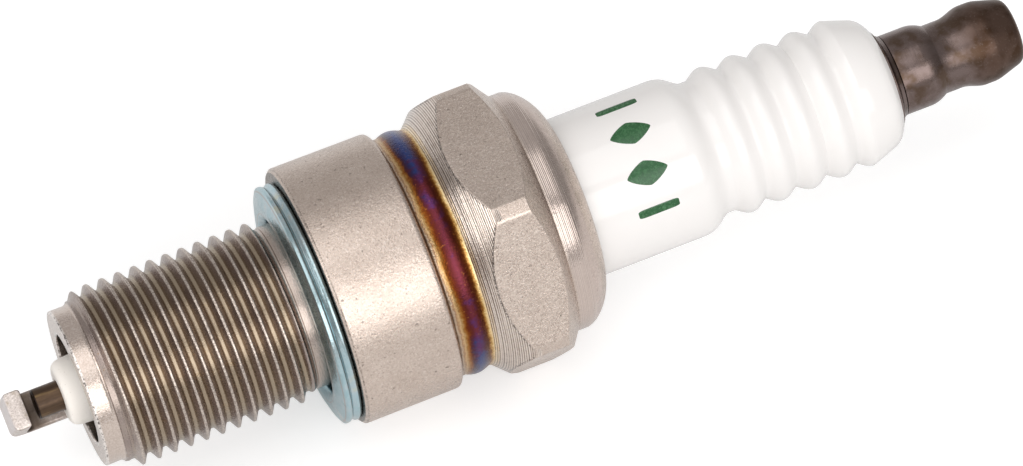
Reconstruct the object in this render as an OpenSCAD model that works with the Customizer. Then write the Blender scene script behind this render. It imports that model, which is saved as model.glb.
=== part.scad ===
// Spark plug with a 14 mm thread, a captive folded gasket and a screwed terminal nut.
//
// The plug lies along X with its terminal towards +X, and one flat of its hexagon faces
// down. The origin is on the axis, at the face of the body that the gasket seals against.
// Each sub-part is drawn upright, with its axis on Z and that face at z = 0, and lay()
// then turns it down onto X. Lengths are millimetres.

/* [Thread] */
// Diameter over the crests of the body thread
thread_d = 13.84; // [13.6:0.02:14.1]
// Depth of the body thread
thread_depth = 0.68; // [0.5:0.01:0.75]
// Pitch of the body thread
thread_pitch = 1.25; // [1:0.05:1.5]
// Reach, from the sealing face to the end face
reach = 18.8; // [17:0.1:22]
// Diameter of the plain end before the thread
pilot_d = 12.06; // [11.8:0.02:12.3]
// Length of the plain end before the thread
pilot_len = 1.5; // [1:0.05:2.5]
// Chamfer round the outer edge of the end face
pilot_edge = 0.1; // [0.05:0.01:0.3]
// Chamfer round the mouth of the bore
bore_edge = 0.12; // [0.05:0.01:0.3]
// Diameter of the neck that the gasket sits round
neck_d = 12.7; // [12.5:0.02:12.8]

/* [Gasket] */
// Outer diameter of the folded gasket
gasket_d = 18.54; // [18:0.02:19.4]
// Thickness of the folded gasket
gasket_t = 1.62; // [1.4:0.01:2.2]
// Width of the rolled inner edge, which keeps the sealing face clear of the thread
gasket_roll = 0.7; // [0.65:0.01:0.8]
// Width of the flat face that seals against the engine
gasket_land = 0.4; // [0.3:0.05:1]
// Radius of the front lip
gasket_lip = 0.35; // [0.3:0.01:0.4]
// Radius of the back lip
gasket_back_lip = 0.28; // [0.2:0.01:0.3]

/* [Body] */
// Diameter of the collar behind the gasket
collar_d = 20; // [19.6:0.05:20.6]
// Length of the collar
collar_len = 7.62; // [6.5:0.02:9]
// Chamfer of the collar's front edge
collar_edge = 0.3; // [0.1:0.05:0.5]
// Radius of the collar's back edge
collar_round = 0.35; // [0.2:0.05:0.5]
// Length from the collar to the bead of the shrunk waist
bead_at = 0.74; // [0.6:0.02:1]
// Length from the bead of the shrunk waist to the hexagon
bead_from_hex = 0.32; // [0.1:0.02:0.4]
// Diameter of the two grooves of the shrunk waist
waist_d = 18.5; // [18:0.05:18.7]
// Diameter of the bead between the grooves
bead_d = 18.98; // [18.8:0.02:19.3]
// Length of the waist between the collar and the hexagon
waist_len = 2.8; // [2.4:0.02:3.5]
// Diameter of the shoulder behind the hexagon
shoulder_d = 18.5; // [18.2:0.02:19]
// Length of the shoulder behind the hexagon
shoulder_len = 0.85; // [0.6:0.05:1.5]
// Length of the rim that is rolled over the packing
rim_len = 2.35; // [2.1:0.05:2.6]
// Thickness of the rim over the packing, along the axis
rim_wall = 1.35; // [1.2:0.05:1.5]

/* [Hexagon] */
// Width across the flats of the hexagon
hex_af = 20.6; // [20.4:0.05:21]
// Diameter over the turned corners of the hexagon
hex_corner_d = 23.2; // [22.8:0.02:23.5]
// Length of the hexagon with both bevels
hex_len = 6.74; // [6:0.02:9]
// Length of the bevel at the hexagon's front end
hex_front_bevel = 2.4; // [2:0.05:2.6]
// Length of the bevel at the hexagon's back end
hex_back_bevel = 1.7; // [1.4:0.05:2]

/* [Body bore] */
// Diameter of the bore round the nose of the insulator
nose_bore_d = 8.4; // [8:0.05:8.6]
// Diameter of the bore above the seat
middle_bore_d = 10.2; // [9.8:0.05:10.4]
// Diameter of the bore round the flange of the insulator
wide_bore_d = 15.6; // [15.2:0.05:15.8]
// Distance of the wide bore's floor behind the sealing face
wide_bore_at = 3.6; // [3:0.1:4.2]
// Distance of the insulator's seat in front of the sealing face
seat_depth = 8; // [7:0.1:10]
// Thickness of the washer on the seat, along the axis
washer_t = 0.4; // [0.3:0.05:0.6]

/* [Insulator] */
// Diameter of the smooth barrel
barrel_d = 12.24; // [12:0.02:12.6]
// Length of the smooth barrel behind the body
barrel_len = 7.84; // [6:0.02:12]
// Length of the slope from the barrel to the ribs
slope_len = 2.8; // [2.4:0.05:4]
// Length of the plain stretch before the first rib
rib_root_len = 0.5; // [0.3:0.02:1]
// Diameter over the ribs
rib_d = 11.42; // [11:0.02:11.8]
// Diameter between the ribs
rib_root_d = 10.22; // [9.8:0.02:10.6]
// Distance from rib to rib
rib_pitch = 2.44; // [2.2:0.02:3]
// Number of ribs
rib_count = 5; // [3:1:7]
// Length of the head behind the last rib's crest
head_len = 2.94; // [2.6:0.02:4]
// Diameter where the head's end bevel starts
head_bevel_d = 9.78; // [9.4:0.02:10]
// Length of the head's end bevel
head_bevel_len = 0.57; // [0.4:0.01:0.8]
// Diameter of the flat end under the terminal
head_end_d = 8; // [7.7:0.05:8.3]
// Length of the flange held inside the body
flange_len = 8.95; // [7.5:0.05:9.5]
// Gap between the flange's foot and the wide bore's floor, along the axis
flange_float = 0.45; // [0.3:0.05:0.6]
// Difference between the flange's diameter and its bore's
flange_slack = 0.2; // [0.1:0.02:0.3]
// Diameter of the nose at its tip
nose_tip_d = 4.96; // [4.6:0.02:5.3]
// Diameter of the nose at its root
nose_root_d = 6.7; // [6.2:0.05:7]
// Distance that the nose stands out of the body
nose_out = 1.28; // [0.8:0.02:2]

/* [Electrodes] */
// Diameter of the centre electrode
electrode_d = 2.28; // [2.2:0.02:2.6]
// Distance that the centre electrode stands out of the nose
electrode_out = 2.02; // [1.5:0.02:2.5]
// Depth of the centre electrode's seat in front of the sealing face
electrode_seat_depth = 3; // [2:0.1:4]
// Length of the centre electrode's head
electrode_head_len = 1.8; // [1.4:0.1:2.2]
// Diameter of the copper core
core_d = 1.3; // [1:0.05:1.4]
// Thickness of the sheath over the end of the copper core
core_cover = 1.2; // [0.8:0.1:2]
// Spark gap
spark_gap = 0.8; // [0.6:0.05:1.1]
// Width of the ground electrode
strap_w = 2.9; // [2.4:0.05:3]
// Thickness of the ground electrode
strap_t = 1.3; // [1.1:0.02:1.5]
// Length of the ground electrode past the axis
strap_over = 1.2; // [1:0.05:2]
// Inside radius of the ground electrode's bend
strap_bend = 0.7; // [0.5:0.05:1]
// Chamfer of the ground electrode's cut end
strap_cut = 0.35; // [0.1:0.05:0.5]

/* [Terminal] */
// Diameter of the stud's collar on the insulator
stud_collar_d = 7.44; // [7:0.02:7.6]
// Thickness of the stud's collar
stud_collar_t = 0.66; // [0.5:0.02:1]
// Diameter of the stud's shaft
stud_d = 3.6; // [3.3:0.05:3.7]
// Distance of the stud's foot behind the sealing face
stud_foot_at = 3.6; // [2:0.1:5]
// Length of the stud's foot
stud_foot_len = 3.6; // [3.2:0.1:4.5]
// Length of the seal up the stud's foot
seal_grip = 1.9; // [1.5:0.1:2.5]
// Diameter over the crests of the stud's thread
post_thread_d = 3.9; // [3.8:0.02:4]
// Pitch of the stud's thread
post_thread_pitch = 0.7; // [0.6:0.05:0.8]
// Length of the post inside the nut
post_len = 7; // [6:0.1:7.3]
// Diameter of the nut's base
nut_base_d = 6.22; // [6:0.02:6.3]
// Length of the nut's base
nut_base_len = 2; // [1.6:0.05:2.6]
// Length of the nut's shoulder, which curves from the base to the waist
nut_shoulder_len = 1.35; // [1:0.05:1.6]
// Diameter of the nut's waist
nut_waist_d = 5.36; // [5.2:0.02:5.6]
// Length of the flare from the nut's waist to its head
nut_flare_len = 1.9; // [1.5:0.05:2.2]
// Diameter of the nut's head
nut_head_d = 6.22; // [6.1:0.02:6.35]
// Length of the nut's dome behind its head band
nut_dome_len = 2.35; // [2.2:0.05:2.6]
// Length of the nut's cylindrical head band
nut_head_len = 0.95; // [0.8:0.05:1.3]
// Length of the nut
nut_len = 9.8; // [9.6:0.05:11]

/* [Clearances] */
// Gap between parts that seat on each other
seat_gap = 0.02; // [0.01:0.005:0.04]
// Play of the gasket round the neck
gasket_play = 0.43; // [0.3:0.01:0.5]
// Distance along the axis that the gasket can slide
gasket_slide = 0.63; // [0.3:0.01:0.9]
// Gap round the parts that slide into a bore
bore_gap = 0.05; // [0.03:0.01:0.08]
// Gap between the rim's lip and the insulator
lip_gap = 0.14; // [0.1:0.01:0.2]

/* [Hidden] */
$fn = 96;

// Places along the axis, from the electrode end to the terminal end
end_z = -reach;
thread_z0 = end_z + pilot_len;
neck_len = gasket_t + gasket_slide + 2 * seat_gap;
thread_z1 = -neck_len;
waist_z = collar_len;
hex_z = waist_z + waist_len;
shoulder_z = hex_z + hex_len;
rim_z = shoulder_z + shoulder_len;
rim_end_z = rim_z + rim_len;
slope_z = rim_end_z + barrel_len;
ribs_z = slope_z + slope_len + rib_root_len;
last_rib_z = ribs_z + (rib_count - 0.5) * rib_pitch;
top_z = last_rib_z + head_len;
nose_tip_z = end_z - nose_out;
tip_z = nose_tip_z - electrode_out;
strap_z = tip_z - spark_gap;
stud_collar_z = top_z + seat_gap;
nut_z = stud_collar_z + stud_collar_t + seat_gap;
nut_end_z = nut_z + nut_len;

// Turn of the parts that aren't round: the hexagon has a flat below, the ground electrode
// hangs below the axis, and the first thread crest starts where the die left it
hex_turn = 30;
strap_turn = 30.3;
thread_start = 336;

// Points round one turn of each thread, and the lengths over which the threads fade out
thread_sides = 36;
post_sides = 18;
thread_fade = 0.8;
post_fade = 0.5;

// Shapes of curves: how flat the rim is at 45 degrees, how late the slope falls, how broad
// the ribs' crests are, and how far round the collar's back edge turns
rim_power = 1.22;
slope_skew = 1.8;
rib_fullness = 0.65;
collar_round_turn = 75;

// The bead of the waist, between its two grooves
bead_z0 = waist_z + bead_at;
bead_z1 = hex_z - bead_from_hex;

// Radii and levels inside the body
nose_bore_r = nose_bore_d / 2;
middle_bore_r = middle_bore_d / 2;
wide_bore_r = wide_bore_d / 2;
seat_z = -seat_depth;
flange_r = wide_bore_r - flange_slack / 2;
body_r = middle_bore_r - flange_slack / 2;
flange_z = wide_bore_at + flange_float;
flange_end_z = flange_z + flange_len;
barrel_r = barrel_d / 2;
ring_r = (wide_bore_r + barrel_r) / 2;
ring_wire_r = (wide_bore_r - barrel_r) / 2 - bore_gap;
lower_ring_z = flange_end_z + seat_gap + ring_wire_r;
rim_inside_z = rim_end_z - rim_wall;
upper_ring_z = rim_inside_z - seat_gap - ring_wire_r;
lip_bore_r = barrel_r + lip_gap;

// The insulator's bore: narrow round the electrode, wide round the seal and the stud
electrode_r = electrode_d / 2;
narrow_bore_r = electrode_r + bore_gap;
stud_bore_r = stud_d / 2 + 0.25;
electrode_seat_z = -electrode_seat_depth;
electrode_head_z = electrode_seat_z + seat_gap + electrode_head_len;
stud_foot_z = stud_foot_at;
stud_foot_r = stud_d / 2 - 0.25;
seal_end_z = stud_foot_z + seal_grip;
core_r = core_d / 2;
core_tip_z = tip_z + core_cover;

// The post inside the nut
post_thread_depth = 0.36;
post_core_r = post_thread_d / 2 - post_thread_depth - 0.08;
post_z0 = stud_collar_z + stud_collar_t + 0.7;
post_end_z = nut_z + post_len;
post_z1 = post_end_z - 0.5;
nut_bore_r = post_thread_d / 2 + bore_gap;
nut_bore_end_z = post_end_z + 0.4;

// Points of an arc about [cr, cz], from angle a0 to angle a1 measured from the r axis
function arc(cr, cz, rad, a0, a1, steps) =
    [for (i = [0:steps]) let (a = a0 + (a1 - a0) * i / steps)
        [cr + rad * cos(a), cz + rad * sin(a)]];

function clamp01(x) = min(max(x, 0), 1);

// Smooth step from 0 to 1
function ease(x) = (1 - cos(180 * clamp01(x))) / 2;

// Lays an upright sub-part down, so that its axis points along +X
module lay() { rotate([0, 90, 0]) children(); }

// Points of a bend that takes off the corner b between a and c, size before it to size after
function bend(a, b, c, size, steps = 4) =
    let (p = b + (a - b) * size / norm(a - b), q = b + (c - b) * size / norm(c - b))
    [for (i = [0:steps]) let (t = i / steps)
        (1 - t) * (1 - t) * p + 2 * t * (1 - t) * b + t * t * q];

// One turned solid from its profile of [r, z] points
module turned(profile) { rotate_extrude() polygon(profile); }

// A screw thread as one closed surface. Each row of points follows the helix, four rows to
// a pitch, and the radius fades to the root over one run at both ends, where the rows stop
// on a flat ring. start is the turn, in degrees, of the crest that passes z0.
module screw_thread(crest_r, depth, pitch, z0, z1, sides, start, run) {
    row_at = [0, 0.39, 0.5, 0.61];
    row_height = [0, 0.88, 1, 0.88];
    root_r = crest_r - depth;
    rows = 4 * (ceil((z1 - z0) / pitch) + 3);
    function raw_z(i, k) =
        z0 + pitch * (floor(k / 4) - 2 + row_at[k % 4] + i / sides);
    function height(i, k) = let (z = raw_z(i, k))
        row_height[k % 4] * ease((z - z0) / run) * ease((z1 - z) / run);
    function around(i, r, z) = let (a = start + 360 * i / sides) [r * cos(a), r * sin(a), z];
    // A row that has wrapped round joins the row one pitch further on
    function id(i, k) = i == sides ? id(0, k + 4)
        : raw_z(i, k) <= z0 + 0.01 ? i
        : raw_z(i, k) >= z1 - 0.01 ? sides + i
        : 2 * sides + k * sides + i;
    ring0 = [for (i = [0:sides - 1]) around(i, root_r, z0)];
    ring1 = [for (i = [0:sides - 1]) around(i, root_r, z1)];
    grid = [for (k = [0:rows + 4]) for (i = [0:sides - 1])
        around(i, root_r + depth * height(i, k), raw_z(i, k))];
    quads = [for (k = [0:rows - 1]) for (i = [0:sides - 1])
        [id(i, k), id(i + 1, k), id(i + 1, k + 1), id(i, k + 1)]];
    skin = [for (q = quads) for (t = [[q[0], q[2], q[1]], [q[0], q[3], q[2]]])
        if (t[0] != t[1] && t[1] != t[2] && t[0] != t[2]) t];
    cap0 = [for (i = [0:sides - 1]) i];
    cap1 = [for (i = [sides - 1:-1:0]) sides + i];
    polyhedron(points = concat(ring0, ring1, grid), faces = concat(skin, [cap0, cap1]));
}

// Outside of the body from the end face to the rim, without the thread and the hexagon
function body_profile() = concat(
    [[0, end_z], [pilot_d / 2 - pilot_edge, end_z], [pilot_d / 2, end_z + pilot_edge],
        [pilot_d / 2, thread_z1], [neck_d / 2, thread_z1], [neck_d / 2, 0],
        [collar_d / 2 - collar_edge, 0], [collar_d / 2, collar_edge]],
    arc(collar_d / 2 - collar_round, waist_z - 0.1, collar_round, 0, collar_round_turn, 4),
    [[waist_d / 2, bead_z0]],
    [for (i = [1:7]) let (u = i / 8)
        [waist_d / 2 + (bead_d - waist_d) / 2 * sin(180 * u), bead_z0 + (bead_z1 - bead_z0) * u]],
    [[waist_d / 2, bead_z1], [waist_d / 2, hex_z], [shoulder_d / 2, shoulder_z]],
    [for (i = [0:10]) rim_point(9 * i)],
    [[0, rim_end_z]]);

// The rolled rim bends in from the shoulder to the lip: a quarter of a superellipse, flatter
// at 45 degrees than a circle is
function rim_point(a) = [
    lip_bore_r + (shoulder_d / 2 - lip_bore_r) * pow(cos(a), rim_power),
    rim_z + rim_len * pow(sin(a), rim_power)];

// The hexagon as turned before its flats were pressed: a bevel in front and a steeper one
// behind
function hex_profile() = [[0, hex_z], [waist_d / 2, hex_z],
    [hex_corner_d / 2, hex_z + hex_front_bevel],
    [hex_corner_d / 2, shoulder_z - hex_back_bevel], [shoulder_d / 2, shoulder_z],
    [0, shoulder_z]];

// The stepped bore of the body, open at both ends
function bore_profile() = [[0, end_z - 1], [nose_bore_r + bore_edge + 1, end_z - 1],
    [nose_bore_r, end_z + bore_edge], [nose_bore_r, seat_z],
    [middle_bore_r, seat_z + middle_bore_r - nose_bore_r],
    [middle_bore_r, wide_bore_at - (wide_bore_r - middle_bore_r)],
    [wide_bore_r, wide_bore_at], [wide_bore_r, rim_inside_z], [lip_bore_r, rim_inside_z],
    [lip_bore_r, rim_end_z + 1], [0, rim_end_z + 1]];

module metal_shell() {
    color([0.68, 0.66, 0.62]) lay() difference() {
        union() {
            turned(body_profile());
            screw_thread(thread_d / 2, thread_depth, thread_pitch, thread_z0, thread_z1,
                thread_sides, thread_start, thread_fade);
            intersection() {
                turned(hex_profile());
                translate([0, 0, hex_z - 1]) rotate(hex_turn)
                    linear_extrude(hex_len + 2) circle(d = hex_af / cos(30), $fn = 6);
            }
        }
        turned(bore_profile());
    }
}

// A ring folded from sheet: a flat face in front, two rolled lips outside with a groove
// between them, and the slit of the fold inside. It has dropped onto the neck.
module gasket() {
    bore_r = neck_d / 2 + gasket_play;
    outer_r = gasket_d / 2;
    drop = gasket_play - 2 * seat_gap;
    back_z = -seat_gap;
    front_z = back_z - gasket_t;
    fold_z = back_z - 0.45 * gasket_t;
    groove_z = back_z - 0.66;
    slit_r = outer_r - 0.8;
    edge = 0.2;
    roll_depth = 0.35 * gasket_t;
    color([0.55, 0.66, 0.7]) translate([0, 0, -drop]) lay() turned(concat(
        [for (i = [0:4]) let (a = 90 * i / 4)
            [bore_r + gasket_roll * (1 - cos(a)), front_z + roll_depth * (1 - sin(a))]],
        [[bore_r + gasket_roll + gasket_land, front_z]],
        arc(outer_r - gasket_lip, groove_z - gasket_lip, gasket_lip, -25, 50, 5),
        [[outer_r - 0.12, groove_z]],
        arc(outer_r - gasket_back_lip, back_z - gasket_back_lip, gasket_back_lip, -30, 80, 4),
        [[outer_r - 0.5, back_z], [bore_r + edge, back_z], [bore_r, back_z - edge],
            [bore_r, fold_z + 0.1], [slit_r, fold_z + 0.05], [slit_r, fold_z - 0.05],
            [bore_r, fold_z - 0.1]]));
}

// The strap's outline in the plane of its bend: the leg stands on the end face of the body,
// and the foot crosses the axis in front of the centre electrode
module strap_outline() {
    leg_r = (pilot_d / 2 + nose_bore_r) / 2;
    bend_r = strap_t + strap_bend;
    inside_x = leg_r - strap_t / 2;
    outside_x = leg_r + strap_t / 2;
    foot_z = strap_z - strap_t;
    difference() {
        union() {
            translate([inside_x, foot_z + bend_r]) square([strap_t, end_z - foot_z - bend_r]);
            translate([-strap_over, foot_z]) square([outside_x - bend_r + strap_over, strap_t]);
            intersection() {
                translate([outside_x - bend_r, foot_z + bend_r]) circle(r = bend_r);
                translate([outside_x - bend_r, foot_z]) square([bend_r, bend_r]);
            }
        }
        translate([outside_x - bend_r, foot_z + bend_r]) circle(r = bend_r - strap_t);
        translate([-strap_over - 0.01, foot_z - 0.01])
            polygon([[0, 0], [strap_cut, 0], [0, strap_cut]]);
    }
}

module ground_electrode() {
    color([0.62, 0.58, 0.5]) lay() rotate(strap_turn) rotate([90, 0, 0])
        linear_extrude(strap_w, center = true) strap_outline();
}

// A rib swells from its root and back in one pitch, with a broad crest
function rib_r(u) =
    (rib_root_d + (rib_d - rib_root_d) * pow((1 - cos(360 * u)) / 2, rib_fullness)) / 2;

function insulator_outside() = let (
        shoulder_r = body_r,
        nose_root_z = seat_z + washer_t + 2 * seat_gap - (nose_bore_r - nose_root_d / 2),
        crest = [rib_d / 2, last_rib_z],
        bevel = [head_bevel_d / 2, top_z - head_bevel_len],
        end = [head_end_d / 2, top_z])
    concat(
        arc(nose_tip_d / 2 - 0.7, nose_tip_z + 0.7, 0.7, -90, 0, 5),
        [[nose_root_d / 2, nose_root_z],
            [shoulder_r, nose_root_z + shoulder_r - nose_root_d / 2],
            [shoulder_r, flange_z - (flange_r - shoulder_r)], [flange_r, flange_z],
            [flange_r, flange_end_z - 0.4], [flange_r - 0.4, flange_end_z],
            [barrel_r, flange_end_z], [barrel_r, slope_z]],
        [for (i = [1:8]) let (u = i / 8)
            [barrel_r + (rib_root_d / 2 - barrel_r) * ease(pow(u, slope_skew)),
                slope_z + slope_len * u]],
        [for (i = [0:10 * rib_count - 5]) [rib_r(i / 10), ribs_z + rib_pitch * i / 10]],
        bend(crest, bevel, end, 0.35),
        bend(bevel, end, [0, top_z], 0.15));

module insulator() {
    color([0.96, 0.95, 0.93]) lay() turned(concat(
        insulator_outside(),
        [[stud_bore_r, top_z], [stud_bore_r, electrode_seat_z],
            [narrow_bore_r, electrode_seat_z], [narrow_bore_r, nose_tip_z]]));
}

module center_electrode() {
    head_r = stud_bore_r - bore_gap;
    edge = 0.15;
    color([0.36, 0.3, 0.25]) lay() difference() {
        turned([[0, tip_z], [electrode_r - edge, tip_z], [electrode_r, tip_z + edge],
            [electrode_r, electrode_seat_z + seat_gap], [head_r, electrode_seat_z + seat_gap],
            [head_r, electrode_head_z], [0, electrode_head_z]]);
        translate([0, 0, core_tip_z]) cylinder(r = core_r, h = electrode_head_z - core_tip_z + 1);
    }
}

module copper_core() {
    color([0.72, 0.42, 0.28]) lay() translate([0, 0, core_tip_z + seat_gap])
        cylinder(r = core_r - seat_gap, h = electrode_head_z - core_tip_z - seat_gap);
}

// The fused glass between the electrode and the stud, moulded round the stud's foot
module glass_seal() {
    foot_z = electrode_head_z + seat_gap;
    color([0.33, 0.27, 0.24]) lay() difference() {
        translate([0, 0, foot_z])
            cylinder(r = stud_bore_r - seat_gap, h = seal_end_z - foot_z);
        translate([0, 0, stud_foot_z - seat_gap])
            cylinder(r = stud_foot_r + seat_gap, h = seal_end_z);
    }
}

// The stud: a foot with rolled grooves in the glass, a plain shaft, a collar that rests on
// the insulator, and a threaded post for the nut
module terminal_stud() {
    foot_end_z = stud_foot_z + stud_foot_len;
    collar_r = stud_collar_d / 2;
    grooves = [for (i = [0:2]) let (z = stud_foot_z + 0.5 + i)
        each [[stud_foot_r, z], [stud_foot_r - 0.15, z + 0.2], [stud_foot_r, z + 0.4]]];
    color([0.3, 0.27, 0.25]) lay() union() {
        turned(concat([[0, stud_foot_z], [stud_foot_r, stud_foot_z]], grooves,
            [[stud_foot_r, foot_end_z], [stud_d / 2, foot_end_z + 0.3],
                [stud_d / 2, stud_collar_z], [collar_r, stud_collar_z],
                [collar_r, stud_collar_z + 0.15],
                [nut_base_d / 2, stud_collar_z + stud_collar_t],
                [post_core_r, stud_collar_z + stud_collar_t], [post_core_r, post_end_z - 0.3],
                [post_core_r - 0.3, post_end_z], [0, post_end_z]]));
        screw_thread(post_thread_d / 2, post_thread_depth, post_thread_pitch, post_z0, post_z1,
            post_sides, 0, post_fade);
    }
}

// The nut that a cap's spring clip snaps over: a base, a waist and a head
module terminal_nut() {
    base_r = nut_base_d / 2;
    waist_r = nut_waist_d / 2;
    head_r = nut_head_d / 2;
    base_end_z = nut_z + nut_base_len;
    dome_r = head_r - 0.6;
    dome_z = nut_end_z - 0.3;
    end_r = head_r - 1;
    head_z1 = nut_end_z - nut_dome_len;
    head_z0 = head_z1 - nut_head_len;
    waist_z1 = head_z0 - nut_flare_len;
    color([0.33, 0.29, 0.26]) lay() difference() {
        turned(concat(
            [[0, nut_z], [base_r - 0.1, nut_z], [base_r, nut_z + 0.1]],
            [for (i = [0:6]) let (u = i / 6)
                [base_r + (waist_r - base_r) * u * u, base_end_z + nut_shoulder_len * u]],
            [for (i = [0:6]) let (u = i / 6)
                [waist_r + (head_r - waist_r) * ease(u), waist_z1 + (head_z0 - waist_z1) * u]],
            [[head_r, head_z1]],
            bend([head_r, head_z1], [dome_r, dome_z], [end_r, nut_end_z], 0.25),
            bend([dome_r, dome_z], [end_r, nut_end_z], [0, nut_end_z], 0.2),
            [[0, nut_end_z]]));
        translate([0, 0, nut_z - 1]) cylinder(r = nut_bore_r, h = nut_bore_end_z - nut_z + 1);
    }
}

// The washer that seals the nose: a cone band between the body's seat and the insulator
module seat_washer() {
    inner_r = nose_bore_r + 0.1;
    outer_r = body_r - 0.1;
    lower_z = seat_z + seat_gap - nose_bore_r;
    color([0.6, 0.58, 0.55]) lay() turned([[inner_r, lower_z + inner_r],
        [outer_r, lower_z + outer_r], [outer_r, lower_z + outer_r + washer_t],
        [inner_r, lower_z + inner_r + washer_t]]);
}

// A wire ring between the insulator and the body
module packing_ring(z) {
    color([0.5, 0.5, 0.5]) lay() translate([0, 0, z]) rotate_extrude()
        translate([ring_r, 0]) circle(r = ring_wire_r, $fn = 32);
}

module lower_packing_ring() { packing_ring(lower_ring_z); }

module upper_packing_ring() { packing_ring(upper_ring_z); }

// The pressed powder between the two rings
module talc_fill() {
    z0 = lower_ring_z + ring_wire_r + seat_gap;
    z1 = upper_ring_z - ring_wire_r - seat_gap;
    color([0.85, 0.84, 0.8]) lay() turned([[barrel_r + seat_gap, z0],
        [wide_bore_r - seat_gap, z0], [wide_bore_r - seat_gap, z1], [barrel_r + seat_gap, z1]]);
}

metal_shell();
gasket();
ground_electrode();
insulator();
center_electrode();
copper_core();
glass_seal();
terminal_stud();
terminal_nut();
seat_washer();
lower_packing_ring();
talc_fill();
upper_packing_ring();
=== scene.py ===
# %% [markdown]
# # A spark plug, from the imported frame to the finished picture
# The CAD model gives the plug its sizes and its moving bodies. This script loads it as a
# fixed frame and makes every surface that shows again, finer, as a mesh worked out with
# numpy: a turned part is a profile carried round the axis, a thread is the same profile
# with a ridge that climbs as it goes round. Each piece then rides on its CAD body.

# %% Load the frame
import math
import bpy
import numpy as np
from mathutils import Matrix, Vector


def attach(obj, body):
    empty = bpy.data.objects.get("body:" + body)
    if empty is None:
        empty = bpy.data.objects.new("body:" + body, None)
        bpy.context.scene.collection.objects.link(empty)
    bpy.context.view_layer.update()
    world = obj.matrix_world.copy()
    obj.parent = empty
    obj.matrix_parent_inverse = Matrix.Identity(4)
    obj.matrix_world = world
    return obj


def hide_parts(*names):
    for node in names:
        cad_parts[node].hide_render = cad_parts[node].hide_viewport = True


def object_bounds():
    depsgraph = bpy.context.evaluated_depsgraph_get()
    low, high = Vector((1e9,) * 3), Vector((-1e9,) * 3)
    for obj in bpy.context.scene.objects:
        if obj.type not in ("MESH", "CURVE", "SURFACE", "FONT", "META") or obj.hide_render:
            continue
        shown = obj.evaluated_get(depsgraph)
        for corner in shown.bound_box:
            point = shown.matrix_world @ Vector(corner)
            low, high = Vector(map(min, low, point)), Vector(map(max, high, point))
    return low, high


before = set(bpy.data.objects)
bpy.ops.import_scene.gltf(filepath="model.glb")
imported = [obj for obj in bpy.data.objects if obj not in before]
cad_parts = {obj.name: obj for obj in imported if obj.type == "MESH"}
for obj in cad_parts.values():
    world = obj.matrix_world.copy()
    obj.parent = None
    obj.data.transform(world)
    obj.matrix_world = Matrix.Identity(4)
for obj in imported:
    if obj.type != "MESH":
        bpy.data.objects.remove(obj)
cad_box = [list(corner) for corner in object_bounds()]
MM = 0.001


def in_mm(box):
    """The corners of a box in mm, rounded for printing."""
    return [[round(value / MM, 2) for value in corner] for corner in box]


print("CAD box in mm:", in_mm(cad_box))

# %% [markdown]
# ## Camera
# The photograph was taken with a long lens from well away, so parallel lines hardly
# converge. The plug lies along X and its electrode end leans a little towards the viewer.
# The camera looks down at it, and is rolled so that the axis climbs to the right. It could
# be placed by hand, but numbers are easier to check: the lens in pixels, the lean of the
# axis, the tilt round it and the roll of the picture, then how far away, left and up the
# seat of the gasket lies.

# %% Camera
PICTURE_WIDTH = 1023
LENS_PIXELS = 9000
SENSOR = 36
NEAREST = 0.01
LEAN = math.radians(8.6)
TILT = math.radians(56.3)
ROLL = math.radians(21.0135)
SEAT_DEPTH, SEAT_LEFT, SEAT_UP = 659.9 * MM, -15.126 * MM, 0.765 * MM


def add_object(name, data):
    """A new object in the scene that shows a mesh, a lamp or a camera."""
    new = bpy.data.objects.new(name, data)
    bpy.context.scene.collection.objects.link(new)
    return new


toward_camera = Vector((-math.sin(LEAN), -math.cos(LEAN) * math.cos(TILT),
                        math.cos(LEAN) * math.sin(TILT)))
along_plug = (Vector((1, 0, 0)) + math.sin(LEAN) * toward_camera) / math.cos(LEAN)
across_plug = toward_camera.cross(along_plug)
right = math.cos(ROLL) * along_plug - math.sin(ROLL) * across_plug
up = math.sin(ROLL) * along_plug + math.cos(ROLL) * across_plug
eye = -SEAT_LEFT * along_plug - SEAT_UP * across_plug + SEAT_DEPTH * toward_camera

lens = bpy.data.cameras.new("camera")
lens.sensor_width = SENSOR
lens.lens = SENSOR * LENS_PIXELS / PICTURE_WIDTH
lens.clip_start = NEAREST
camera = add_object("camera", lens)
turn = Matrix((right, up, toward_camera)).transposed().to_4x4()
camera.matrix_world = Matrix.Translation(eye) @ turn
bpy.context.scene.camera = camera
bpy.context.scene.view_settings.view_transform = "Standard"
print("lens", round(lens.lens, 1), "mm at", round(eye.length, 3), "m")

# %% [markdown]
# ## Surfaces from grids of points
# One function turns a grid of points into a closed mesh. Rows of the grid follow a
# profile along the plug, and columns go round it. A row that lies on the axis becomes one
# point, and a profile that bites its own tail is joined end to end. The Screw modifier
# could turn a profile too, but a thread or a hexagon needs another radius at each angle.

# %% Helper: faces of a grid
def grid_faces(rows, columns, ring, start_pole, end_pole):
    """Faces of a rows by columns grid that closes round its columns, each with its outside
    out. A pole is a row that is a single point."""
    index = np.arange(rows * columns).reshape(rows, columns)
    if start_pole:
        index[0] = index[0, 0]
    if end_pole:
        index[-1] = index[-1, 0]
    low = index if ring else index[:-1]
    high = np.roll(index, -1, axis=0) if ring else index[1:]
    beside = [np.roll(side, -1, axis=1) for side in (low, high)]
    corners = np.stack([low, *beside, high], axis=-1)
    faces = []
    if start_pole:
        faces += corners[0][:, [0, 2, 3]].tolist()
    if end_pole:
        faces += corners[-1][:, [0, 1, 2]].tolist()
    body = corners[1 if start_pole else 0:len(corners) - 1 if end_pole else len(corners)]
    return faces + body.reshape(-1, 4).tolist()


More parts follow.
